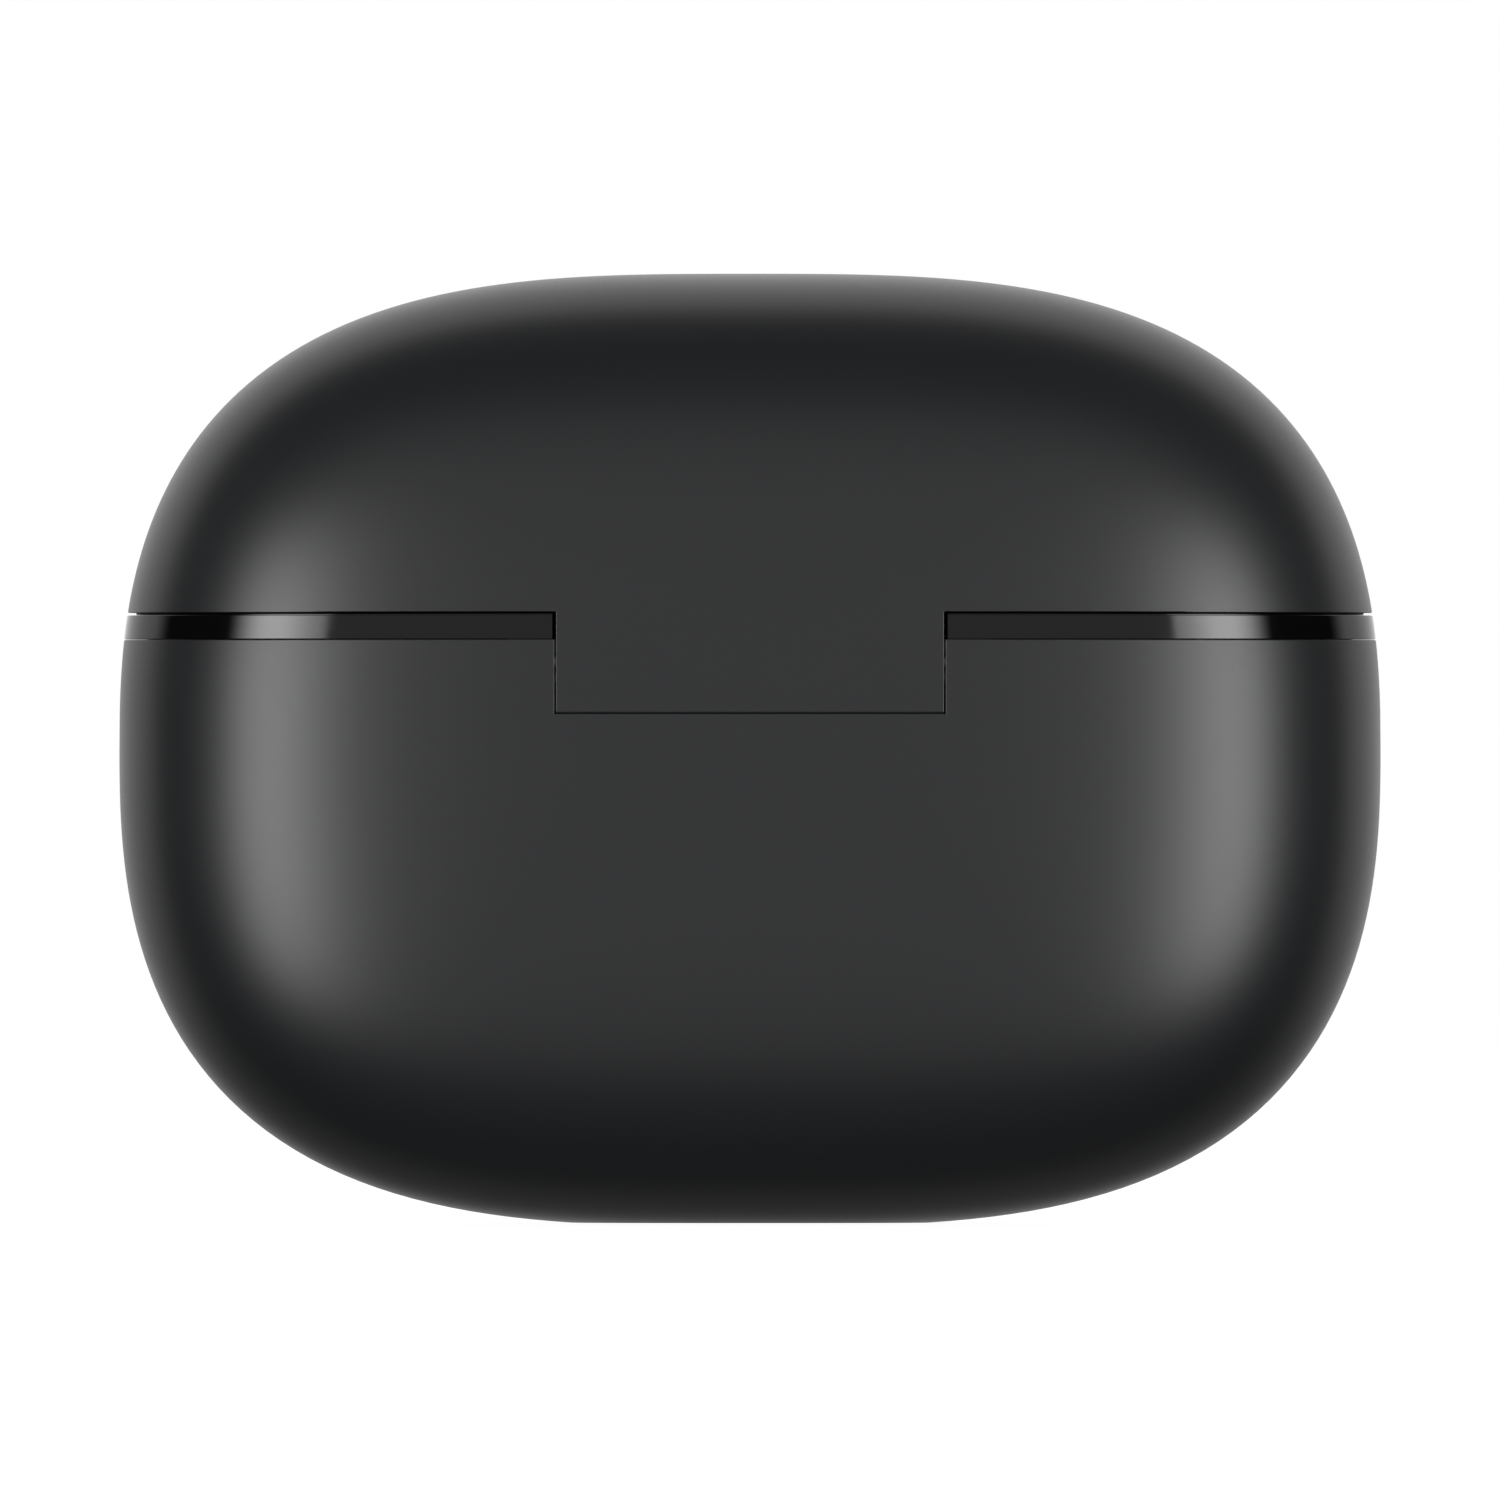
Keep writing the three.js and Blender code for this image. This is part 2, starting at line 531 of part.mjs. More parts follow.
// A flat cable from the back of the main board up to the underside of the deck board.
function flexCable() {
  const thick = 0.16;
  const back = BOARD_BACK + 0.05;
  const under = deckUnder - 0.05;
  const bend = 2.2;
  const outline = new THREE.Shape();
  outline.moveTo(back + thick, 16.2);
  outline.lineTo(back + thick, under - bend);
  outline.absarc(back + thick - bend, under - bend, bend, 0, Math.PI / 2, false);
  outline.lineTo(-1.5, under);
  outline.lineTo(-1.5, under - thick);
  outline.lineTo(back + thick - bend, under - thick);
  outline.absarc(back + thick - bend, under - bend, bend - thick, Math.PI / 2, 0, true);
  outline.lineTo(back, 16.2);
  outline.closePath();
  const geometry = new THREE.ExtrudeGeometry(outline, { depth: 5, bevelEnabled: false, curveSegments: 8 });
  geometry.rotateY(Math.PI / 2).rotateX(Math.PI / 2).translate(-2.5, 0, 0);
  return solid(geometry);
}
add('flex_cable', flexCable(), '#b5701e', 0.5, 0);

// ---- Charging contacts ----
const BARREL_BOTTOM = CONTACT_BOARD_Z + 0.65;
const BARREL_TOP = STEM.floor - BOWL_WALL - 0.3;
const PLUNGER_BOTTOM = BARREL_BOTTOM + 1.65;

function contactBarrel(x) {
  const bore = rodZ(BARREL_BORE, x, STEM.y, BARREL_BOTTOM + 0.3, 20, 16);
  return rodZ(BARREL_R, x, STEM.y, BARREL_BOTTOM, BARREL_TOP, 16).subtract(bore);
}

function contactPlunger(x) {
  const top = STEM.floor + PLUNGER_RISE;
  const profile = [[0, PLUNGER_BOTTOM], [PLUNGER_R, PLUNGER_BOTTOM], [PLUNGER_R, top - 0.25]];
  profile.push([PLUNGER_R * 0.6, top - 0.06], [0, top]);
  const geometry = new THREE.LatheGeometry(profile.map(([r, z]) => new THREE.Vector2(r, z)), 14);
  return solid(geometry.rotateX(Math.PI / 2).translate(x, STEM.y, 0));
}

function contactSpring(x) {
  const coilR = 0.34;
  const turns = 3;
  const stepsPerTurn = 8;
  const low = BARREL_BOTTOM + 0.42;
  const high = PLUNGER_BOTTOM - 0.12;
  const points = [];
  for (let i = 0; i <= turns * stepsPerTurn; i += 1) {
    const angle = (2 * Math.PI * i) / stepsPerTurn;
    const z = low + ((high - low) * i) / (turns * stepsPerTurn);
    points.push([x + coilR * Math.cos(angle), STEM.y + coilR * Math.sin(angle), z]);
  }
  return sweep(roundSection(0.07, 4), smooth(points), turns * stepsPerTurn);
}

for (const [sideName, side] of SIDES) {
  const middle = side * STEM.x;
  const board = box(middle - 3.2, middle + 3.2, -3.0, 3.0, CONTACT_BOARD_Z, CONTACT_BOARD_Z + 0.6);
  add(`contact_board_${sideName}`, board, BOARD_GREEN, 0.5, 0);
  const lead = smooth([
    [side * 12.4, BOARD_BACK + 0.5, 9.5],
    [side * 13.4, BOARD_BACK + 0.8, 7.6],
    [side * 14.8, BOARD_BACK + 0.4, 6.2],
    [side * 16.2, BOARD_BACK - 0.2, 5.6],
  ]);
  add(`contact_lead_${sideName}`, sweep(roundSection(0.35, 6), lead, 8), '#b5701e', 0.5, 0);
  for (const [i, x] of contactXs(side).entries()) {
    const label = `${sideName}_${i + 1}`;
    add(`contact_barrel_${label}`, contactBarrel(x), GOLD, 0.25, 1);
    add(`contact_spring_${label}`, contactSpring(x), STEEL, 0.3, 1);
    add(`contact_plunger_${label}`, contactPlunger(x), GOLD, 0.2, 1);
  }
}

// ---- Pair button ----
function pairButton() {
  const cap = rodZ(BUTTON_R, 0, BUTTON_Y, 30.7, LIP_TOP - 0.1, 28);
  const flange = rodZ(BUTTON_R + 0.6, 0, BUTTON_Y, 30.6, 31.2, 28);
  return cap.add(flange).add(rodZ(0.8, 0, BUTTON_Y, 30.4, 31, 14));
}
add('pair_button', pairButton(), SOFT_BLACK, 0.4, 0);

export default group;
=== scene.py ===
import json
import math

import bpy
import numpy as np
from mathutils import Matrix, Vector


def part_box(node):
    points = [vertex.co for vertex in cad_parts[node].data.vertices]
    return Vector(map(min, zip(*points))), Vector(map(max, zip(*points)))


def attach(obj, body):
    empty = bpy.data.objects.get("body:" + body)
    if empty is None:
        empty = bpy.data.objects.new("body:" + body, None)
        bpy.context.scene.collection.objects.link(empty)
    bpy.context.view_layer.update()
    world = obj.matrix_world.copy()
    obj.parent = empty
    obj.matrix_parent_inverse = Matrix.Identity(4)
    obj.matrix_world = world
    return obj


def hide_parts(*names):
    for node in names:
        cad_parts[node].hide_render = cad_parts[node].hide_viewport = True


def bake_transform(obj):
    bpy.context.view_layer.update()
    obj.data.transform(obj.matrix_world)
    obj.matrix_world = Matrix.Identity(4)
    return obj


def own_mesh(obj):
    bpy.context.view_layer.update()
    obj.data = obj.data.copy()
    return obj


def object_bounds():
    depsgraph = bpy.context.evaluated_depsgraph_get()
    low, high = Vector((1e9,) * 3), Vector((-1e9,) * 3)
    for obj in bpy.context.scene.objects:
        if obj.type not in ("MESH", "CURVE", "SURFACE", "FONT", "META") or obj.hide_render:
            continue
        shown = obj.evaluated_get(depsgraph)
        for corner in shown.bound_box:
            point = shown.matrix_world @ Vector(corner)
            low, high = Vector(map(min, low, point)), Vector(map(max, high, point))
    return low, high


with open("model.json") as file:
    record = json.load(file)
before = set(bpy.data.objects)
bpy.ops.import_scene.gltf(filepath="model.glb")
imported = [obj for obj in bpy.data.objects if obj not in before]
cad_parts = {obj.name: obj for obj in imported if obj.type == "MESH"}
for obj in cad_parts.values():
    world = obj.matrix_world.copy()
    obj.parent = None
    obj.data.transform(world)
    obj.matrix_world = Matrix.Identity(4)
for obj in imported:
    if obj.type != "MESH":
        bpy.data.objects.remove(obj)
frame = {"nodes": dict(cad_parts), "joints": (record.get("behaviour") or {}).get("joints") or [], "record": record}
cad_lo, cad_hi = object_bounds()

# ---- Driving sizes, in millimetres, from the frame ----
MM = 0.001


def node_low(node):
    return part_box(node)[0] / MM


def node_high(node):
    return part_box(node)[1] / MM


FOOT_CUT = 0.2  # what the flat foot takes off the round bottom
HALF_WIDTH = (cad_hi.x - cad_lo.x) / 2 / MM
HALF_DEPTH = (cad_hi.y - cad_lo.y) / 2 / MM
HALF_HEIGHT = (cad_hi.z / MM + FOOT_CUT) / 2
CENTRE_Z = HALF_HEIGHT - FOOT_CUT
EX, EY, EZ = 3.12, 2.5, 2.57  # powers of the outer form

LIP_TOP = node_high("cradle").z
BAND_TOP = LIP_TOP - 0.27
SEAM_Z = BAND_TOP + 0.14
BASE_TOP = node_high("base_shell").z
LINER_Z = node_low("lid_liner").z
WALL = 1.1
FIT = 1.25
LIP_INSET = 0.45
REBATE = 0.4
EDGE = 0.05  # broken edge of the mouldings
BAND_EDGE = 0.04

HINGE = Vector(next(j for j in frame["joints"] if j["name"] == "lid_hinge")["pos_m"]) / MM
TONGUE_HALF = 10.4
TONGUE_Z = HINGE.z - (SEAM_Z - HINGE.z)
NOTCH_HALF = 10.49
NOTCH_GAP = 0.06
WELL_HALF = 10.6
WELL_R = 3.74
LIGHT_Z = 29.15

# ---- The outer form: |x/a|^EX + |y/c|^EY + |z/b|^EZ = 1 ----


def rest_of(z, inset):
    """What height z leaves of the form's plan, from 1 at the middle to 0 at a pole."""
    rise = np.abs((np.asarray(z, float) - CENTRE_Z) / (HALF_HEIGHT - inset)) ** EZ
    return np.clip(1 - rise, 0, 1)


def on_form(u, z, inset=0.0):
    """Points at plan angle u and height z on the form drawn in by inset."""
    u, z = np.broadcast_arrays(np.asarray(u, float), np.asarray(z, float))
    rest = rest_of(z, inset)
    x = np.sign(np.cos(u)) * (HALF_WIDTH - inset) * np.abs(np.cos(u)) ** (2 / EX) * rest ** (1 / EX)
    y = np.sign(np.sin(u)) * (HALF_DEPTH - inset) * np.abs(np.sin(u)) ** (2 / EY) * rest ** (1 / EY)
    return np.stack([x, y, z], -1)


def rear_y(x, z, inset=0.0):
    """Rear surface of the form at a given x and height."""
    rest = rest_of(z, inset) - np.abs(np.asarray(x, float) / (HALF_WIDTH - inset)) ** EX
    return (HALF_DEPTH - inset) * np.clip(rest, 0, 1) ** (1 / EY)


def at_x(x, z, inset=0.0):
    x, z = np.broadcast_arrays(np.asarray(x, float), np.asarray(z, float))
    return np.stack([x, rear_y(x, z, inset), z], -1)


def level(points):
    """1 on the outer form, less inside it."""
    p = np.abs(points - np.array([0, 0, CENTRE_Z])) / np.array([HALF_WIDTH, HALF_DEPTH, HALF_HEIGHT])
    return p[..., 0] ** EX + p[..., 1] ** EY + p[..., 2] ** EZ


def form_normal(points):
    half = np.array([HALF_WIDTH, HALF_DEPTH, HALF_HEIGHT])
    power = np.array([EX, EY, EZ])
    p = (points - np.array([0, 0, CENTRE_Z])) / half
    n = np.sign(p) * power / half * np.abs(p) ** (power - 1)
    return n / np.maximum(np.linalg.norm(n, axis=-1, keepdims=True), 1e-9)


def even_angles(u0, u1, count):
    """Plan angles from u0 to u1 whose points lie evenly along the outline."""
    fine = np.linspace(u0, u1, 4000)
    points = on_form(fine, CENTRE_Z)
    run = np.concatenate([[0], np.cumsum(np.linalg.norm(np.diff(points, axis=0), axis=1))])
    return np.interp(np.linspace(0, run[-1], count + 1), run, fine)


def even_heights(z0, z1, count):
    """Heights from z0 to z1 that lie evenly along the form's profile."""
    share = np.linspace(0, 1, 4000)
    fine = z0 + (z1 - z0) * (1 - (1 - share) ** 3)
    rest = rest_of(fine, 0)
    reach = (HALF_WIDTH * rest ** (1 / EX) + HALF_DEPTH * rest ** (1 / EY)) / 2
    run = np.concatenate([[0], np.cumsum(np.hypot(np.diff(reach), np.diff(fine)))])
    return np.interp(np.linspace(0, run[-1], count + 1), run, fine)


SIDE_COLUMNS = 52  # columns of a quarter outside the tongue
TONGUE_COLUMNS = 16  # columns of a quarter across half the tongue


class Columns:
    """Plan angles round the form, with one column of each rear quarter kept at a fixed x."""

    def __init__(self, pinned_x):
        self.x = pinned_x
        self.pin = math.acos((pinned_x / HALF_WIDTH) ** (EX / 2))
        side = even_angles(0, self.pin, SIDE_COLUMNS)
        middle = even_angles(self.pin, math.pi / 2, TONGUE_COLUMNS)
        quarter = np.concatenate([side, middle[1:]])
        rear = np.concatenate([quarter, math.pi - quarter[-2::-1]])
        self.u = np.concatenate([rear, rear[1:-1] + math.pi])
        self.count = len(self.u)
        self.right = SIDE_COLUMNS
        self.left = len(rear) - 1 - SIDE_COLUMNS

    def points(self, columns, z, inset=0.0):
        """Points of some columns at heights z. The pinned column keeps its x at the hinge's heights."""
        u = self.u[np.asarray(columns) % self.count]
        u, z = np.broadcast_arrays(u, np.asarray(z, float))
        held = rest_of(np.clip(z, TONGUE_Z - 1, SEAM_Z + 0.5), inset)
        width = (HALF_WIDTH - inset) * held ** (1 / EX)
        pin = np.arccos(np.clip((self.x / width) ** (EX / 2), 0, 1))
        quarter = np.floor(u / (math.pi / 2) + 1e-9)
        odd = quarter % 2
        fold = u - quarter * math.pi / 2
        fold = np.where(odd > 0, math.pi / 2 - fold, fold)
        outer = fold * pin / self.pin
        inner = math.pi / 2 - (math.pi / 2 - fold) * (math.pi / 2 - pin) / (math.pi / 2 - self.pin)
        fold = np.where(fold >= self.pin, inner, outer)
        fold = np.where(odd > 0, math.pi / 2 - fold, fold)
        return on_form(quarter * math.pi / 2 + fold, z, inset)


# ---- Mesh making ----


class Skin:
    """Points and faces of one mesh, in millimetres."""

    def __init__(self):
        self.points = []
        self.faces = []

    def add(self, points):
        """Adds an array of points and returns their numbers in the same layout."""
        points = np.asarray(points, float)
        first = len(self.points)
        self.points.extend(points.reshape(-1, 3).tolist())
        return np.arange(first, first + points[..., 0].size).reshape(points.shape[:-1])

    def strip(self, a, b, closed=True):
        """Quads between two rows of point numbers."""
        count = len(a) if closed else len(a) - 1
        for i in range(count):
            j = (i + 1) % len(a)
            self.faces.append((int(a[i]), int(a[j]), int(b[j]), int(b[i])))

    def rows(self, grid, closed=True):
        for a, b in zip(grid[:-1], grid[1:]):
            self.strip(a, b, closed)

    def fan(self, row, tip):
        for i in range(len(row)):
            self.faces.append((int(row[i]), int(row[(i + 1) % len(row)]), int(tip)))


def make_object(name, points, faces):
    mesh = bpy.data.meshes.new(name)
    mesh.from_pydata((np.asarray(points) * MM).tolist(), [], faces)
    mesh.update()
    made = bpy.data.objects.new(name, mesh)
    bpy.context.scene.collection.objects.link(made)
    return made


def face_outwards(made):
    """Turns a closed mesh's faces outwards."""
    bpy.context.view_layer.objects.active = made
    made.select_set(True)
    bpy.ops.object.mode_set(mode="EDIT")
    bpy.ops.mesh.select_all(action="SELECT")
    bpy.ops.mesh.normals_make_consistent(inside=False)
    bpy.ops.object.mode_set(mode="OBJECT")
    made.select_set(False)


SMOOTH_ANGLE = 32  # degrees between faces, over which an edge stays sharp
LEVEL_RISE = 1e-4
FORM_TOLERANCE = 1.5e-3  # how near the form's level must be to 1 for a point to lie on it
FORM_FACING = 0.6  # least cosine between a face and the form's own normal


def smooth_shade(made, on_outer_form=False):
    """Smooth shading with sharp edges. Level faces stay flat, and the outer form has its own normals."""
    mesh = made.data
    mesh.polygons.foreach_set("use_smooth", [True] * len(mesh.polygons))
    mesh.set_sharp_from_angle(angle=math.radians(SMOOTH_ANGLE))
    co = np.zeros(len(mesh.vertices) * 3, np.float32)
    mesh.vertices.foreach_get("co", co)
    co = co.reshape(-1, 3).astype(float) / MM
    flat = np.zeros(len(mesh.polygons) * 3, np.float32)
    mesh.polygons.foreach_get("normal", flat)
    flat = flat.reshape(-1, 3).astype(float)
    corner = np.zeros(len(mesh.loops), np.int32)
    mesh.loops.foreach_get("vertex_index", corner)
    sizes = np.array([p.loop_total for p in mesh.polygons])
    starts = np.concatenate([[0], np.cumsum(sizes)[:-1]])
    face = np.repeat(np.arange(len(sizes)), sizes)
    heights = co[corner, 2]
    rise = np.maximum.reduceat(heights, starts) - np.minimum.reduceat(heights, starts)
    is_level = (rise < LEVEL_RISE)[face]
    wanted = np.where(is_level[:, None], flat[face], 0.0)
    if on_outer_form:
        exact = form_normal(co)[corner]
        near = (np.abs(level(co) - 1) < FORM_TOLERANCE)[corner]
        along = np.sum(exact * flat[face], axis=1)
        wanted = np.where((near & (along > FORM_FACING) & ~is_level)[:, None], exact, wanted)
    mesh.normals_split_custom_set(wanted.tolist())


def finish_piece(made, body, material, nodes, on_outer_form=False):
    smooth_shade(made, on_outer_form)
    made.data.materials.clear()
    made.data.materials.append(material)
    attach(made, body)
    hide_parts(*nodes)
    return made


# ---- Materials ----


class Nodes:
    """A material's node tree, with a short way to add and join nodes."""

    def __init__(self, name):
        self.material = bpy.data.materials.new(name)
        self.material.use_nodes = True
        self.tree = self.material.node_tree
        self.shader = self.tree.nodes["Principled BSDF"]
        self.place = self.tree.nodes.new("ShaderNodeTexCoord").outputs["Object"]

    def add(self, kind, inputs=None, **settings):
        node = self.tree.nodes.new(kind)
        for key, value in settings.items():
            setattr(node, key, value)
        for key, value in (inputs or {}).items():
            if isinstance(value, bpy.types.NodeSocket):
                self.tree.links.new(value, node.inputs[key])
            else:
                node.inputs[key].default_value = value
        return node

    def noise(self, size_mm, detail=2.0, rough=0.5):
        """Noise whose lumps are about size_mm across."""
        scale = 1 / (size_mm * MM)
        inputs = {"Vector": self.place, "Scale": scale, "Detail": detail, "Roughness": rough}
        return self.add("ShaderNodeTexNoise", inputs).outputs["Fac"]

    def spread(self, value, low, high, from_low=0.3, from_high=0.7):
        inputs = {"Value": value, "From Min": from_low, "From Max": from_high, "To Min": low, "To Max": high}
        return self.add("ShaderNodeMapRange", inputs).outputs["Result"]

    def tint(self, factor, dark, light):
        mix = self.add("ShaderNodeMix", {"Factor": factor}, data_type="RGBA")
        mix.inputs[6].default_value = (*dark, 1)
        mix.inputs[7].default_value = (*light, 1)
        return mix.outputs[2]

    def bump(self, height, depth_mm, normal=None):
        inputs = {"Height": height, "Distance": depth_mm * MM, "Strength": 1.0}
        if normal is not None:
            inputs["Normal"] = normal
        return self.add("ShaderNodeBump", inputs).outputs["Normal"]

    def set(self, **values):
        for key, value in values.items():
            socket = self.shader.inputs[key.replace("_", " ")]
            if isinstance(value, bpy.types.NodeSocket):
                self.tree.links.new(value, socket)
            else:
                socket.default_value = value
        return self.material


def charcoal_plastic():
    n = Nodes("charcoal_plastic")
    grain = n.noise(0.11, 2.0)
    cloud = n.noise(9.0, 3.0)
    color = n.tint(cloud, (0.0164, 0.0172, 0.0186), (0.0178, 0.0186, 0.0200))
    rough = n.spread(grain, 0.32, 0.37)
    normal = n.bump(grain, 0.0010)
    return n.set(Base_Color=color, Roughness=rough, Normal=normal, IOR=1.5)


def gloss_black():
    n = Nodes("gloss_black")
    cloud = n.noise(6.0, 2.0)
    color = n.tint(cloud, (0.0030, 0.0030, 0.0032), (0.0042, 0.0042, 0.0045))
    rough = n.spread(n.noise(1.5, 3.0), 0.05, 0.09)
    normal = n.bump(n.noise(4.0, 1.0), 0.002)
    return n.set(Base_Color=color, Roughness=rough, Normal=normal, IOR=1.44)


def plastic(name, dark, light, rough, grain_mm=0.12, grain_depth=0.0015, cloud_mm=5.0):
    """A moulded plastic or rubber: cloudy colour, fine grain and a roughness that follows it."""
    n = Nodes(name)
    grain = n.noise(grain_mm, 2.0)
    color = n.tint(n.noise(cloud_mm, 3.0), dark, light)
    normal = n.bump(grain, grain_depth)
    return n.set(Base_Color=color, Roughness=n.spread(grain, rough, rough + 0.08), Normal=normal, IOR=1.5)


def metal(name, dark, light, rough, grain_mm=0.08, grain_depth=0.0006):
    n = Nodes(name)
    grain = n.noise(grain_mm, 3.0)
    color = n.tint(n.noise(2.0, 3.0), dark, light)
    rubbed = n.spread(n.noise(0.6, 4.0), rough, rough + 0.12)
    return n.set(Base_Color=color, Metallic=1.0, Roughness=rubbed, Normal=n.bump(grain, grain_depth))


def board_green():
    """Solder mask over faint copper tracks."""
    n = Nodes("board_green")
    tracks = n.add("ShaderNodeTexVoronoi", {"Vector": n.place, "Scale": 1 / (1.4 * MM)}, distance="MANHATTAN")
    line = n.spread(tracks.outputs["Distance"], 0.0, 1.0, 0.42, 0.5)
    color = n.tint(line, (0.008, 0.052, 0.030), (0.016, 0.085, 0.048))
    grain = n.noise(0.1, 2.0)
    normal = n.bump(line, 0.02, n.bump(grain, 0.001))
    return n.set(Base_Color=color, Roughness=n.spread(grain, 0.32, 0.42), Normal=normal, IOR=1.5)


def clear_lens():
    n = Nodes("clear_lens")
    cloud = n.noise(0.5, 2.0)
    color = n.tint(cloud, (0.24, 0.25, 0.26), (0.30, 0.31, 0.32))
    normal = n.bump(n.noise(0.2, 2.0), 0.001)
    return n.set(Base_Color=color, Roughness=n.spread(cloud, 0.08, 0.14), Normal=normal, IOR=1.49)


CHARCOAL = charcoal_plastic()
GLOSS = gloss_black()
SATIN = plastic("soft_black", (0.0085, 0.0087, 0.0092), (0.0105, 0.0108, 0.0114), 0.34)
STEEL = metal("steel", (0.50, 0.51, 0.53), (0.58, 0.59, 0.61), 0.26)
NICKEL = metal("nickel_plate", (0.60, 0.60, 0.59), (0.68, 0.68, 0.67), 0.18)
GOLD = metal("gold_plate", (0.86, 0.60, 0.27), (0.93, 0.68, 0.33), 0.14)
BOARD = board_green()
CHIP = plastic("chip_black", (0.010, 0.010, 0.011), (0.014, 0.014, 0.015), 0.46, 0.08, 0.003)
TRAY = plastic("tray_plastic", (0.024, 0.025, 0.028), (0.030, 0.031, 0.034), 0.52)
CELL = plastic("cell_wrap", (0.26, 0.27, 0.29), (0.31, 0.32, 0.34), 0.34, 0.4, 0.004)
FOAM = plastic("foam", (0.016, 0.016, 0.018), (0.024, 0.024, 0.027), 0.85, 0.3, 0.05)
LEAD_RED = plastic("lead_red", (0.34, 0.014, 0.012), (0.40, 0.020, 0.016), 0.44)
LEAD_BLACK = plastic("lead_black", (0.009, 0.009, 0.010), (0.013, 0.013, 0.014), 0.44)
FLEX = plastic("flex_amber", (0.42, 0.15, 0.018), (0.50, 0.20, 0.028), 0.36)
PLUG = plastic("plug_white", (0.70, 0.66, 0.56), (0.78, 0.74, 0.64), 0.44)
LED = plastic("led_lens", (0.80, 0.78, 0.66), (0.88, 0.86, 0.74), 0.28)
LENS_CLEAR = clear_lens()
FINISH = {
    "charcoal_plastic": CHARCOAL, "gloss_black": GLOSS, "soft_black": SATIN, "steel": STEEL,
    "nickel_plate": NICKEL, "gold_plate": GOLD, "board_green": BOARD, "chip_black": CHIP,
    "tray_plastic": TRAY, "cell_wrap": CELL, "foam": FOAM, "lead_red": LEAD_RED,
    "lead_black": LEAD_BLACK, "flex_amber": FLEX, "plug_white": PLUG, "led_lens": LED,
    "clear_lens": LENS_CLEAR,
}

# ---- Lid shell ----


def swing_radius(x):
    """Radius about the hinge that the lid's rear edge keeps clear of."""
    back = np.maximum(rear_y(x, SEAM_Z) - HINGE.y, 0)
    return np.hypot(back, SEAM_Z - HINGE.z)


def tongue_radius(x):
    return np.hypot(rear_y(x, TONGUE_Z) - HINGE.y, TONGUE_Z - HINGE.z)


def swing_height(points):
    """Height above which the lid may have material at these points, or nothing."""
    x, y = points[..., 0], points[..., 1]
    left = swing_radius(x) ** 2 - (y - HINGE.y) ** 2
    inside = (rear_y(x, SEAM_Z) > HINGE.y) & (left > 0)
    return np.where(inside, HINGE.z + np.sqrt(np.maximum(left, 0)), -1e3)


def under_arc(x, y, extra):
    """Height of the tongue's lower end at depth y, on its arc about the hinge."""
    r = tongue_radius(x) + extra
    return HINGE.z - np.sqrt(np.maximum(r ** 2 - (y - HINGE.y) ** 2, 0))


def lid_shell():
    columns = Columns(TONGUE_HALF - EDGE)
    skin = Skin()
    seam = np.arange(columns.left, columns.right + columns.count + 1)
    across = np.arange(columns.right, columns.left + 1)
    every = np.arange(columns.count)
    heights = even_heights(SEAM_Z + EDGE, HALF_HEIGHT + CENTRE_Z, 60)
    upper = skin.add(columns.points(every[None, :], heights[:-1, None]))
    tip = skin.add(np.array([0, 0, CENTRE_Z + HALF_HEIGHT]))
    skin.rows(upper)
    skin.fan(upper[-1], tip)
    down = np.linspace(TONGUE_Z + EDGE, SEAM_Z + EDGE, 10)
    tongue = skin.add(columns.points(across[None, :], down[:-1, None]))
    tongue = np.vstack([tongue, upper[0][across][None, :]])
    skin.rows(tongue, closed=False)
    rim = np.concatenate([upper[0][seam % columns.count], tongue[-2::-1, 0], tongue[0, 1:], tongue[1:-1, -1]])

    def offset(inset, seam_height):
        """The rim drawn in by inset, in the same order as the rim itself."""
        z = np.full(len(seam), SEAM_Z)
        around = columns.points(seam, z, inset)
        corners = at_x(np.array([-TONGUE_HALF, TONGUE_HALF]), SEAM_Z, inset)
        around[0], around[-1] = corners[0], corners[1]
        around[:, 2] = np.maximum(seam_height, swing_height(around))
        side_z = down[-2:0:-1]
        right = at_x(TONGUE_HALF, side_z, inset)
        x = columns.points(across, TONGUE_Z, 0)[:, 0]
        x[0], x[-1] = TONGUE_HALF, -TONGUE_HALF
        low = at_x(x, TONGUE_Z, inset)
        low[:, 2] = under_arc(x, low[:, 1], 0)
        left = at_x(-TONGUE_HALF, side_z[::-1], inset)
        return skin.add(np.concatenate([around, right, low, left]))

    loops = [
        rim,
        offset(EDGE, SEAM_Z),
        offset(REBATE, SEAM_Z),
        offset(REBATE, LINER_Z),
        offset(WALL, LINER_Z),
    ]
    for a, b in zip(loops[:-1], loops[1:]):
        skin.strip(a, b)
    inner_from = SEAM_Z + 1.4
    heights = even_heights(inner_from, CENTRE_Z + HALF_HEIGHT - WALL, 30)
    inside = skin.add(columns.points(every[None, :], heights[:-1, None], WALL))
    tip = skin.add(np.array([0, 0, CENTRE_Z + HALF_HEIGHT - WALL]))
    skin.rows(inside)
    skin.fan(inside[-1], tip)
    deep = np.linspace(TONGUE_Z - 0.4, inner_from, 10)
    tail = skin.add(columns.points(across[None, :], deep[:-1, None], WALL))
    tail = np.vstack([tail, inside[0][across][None, :]])
    skin.rows(tail, closed=False)
    inner = np.concatenate([inside[0][seam % columns.count], tail[-2::-1, 0], tail[0, 1:], tail[1:-1, -1]])
    skin.strip(loops[-1], inner)
    made = make_object("lid_shell_moulding", skin.points, skin.faces)
    face_outwards(made)
    return finish_piece(made, "lid", CHARCOAL, ["lid_shell"], on_outer_form=True)


# ---- Base shell ----

PORT_HALF, PORT_R = 4.6, 1.75


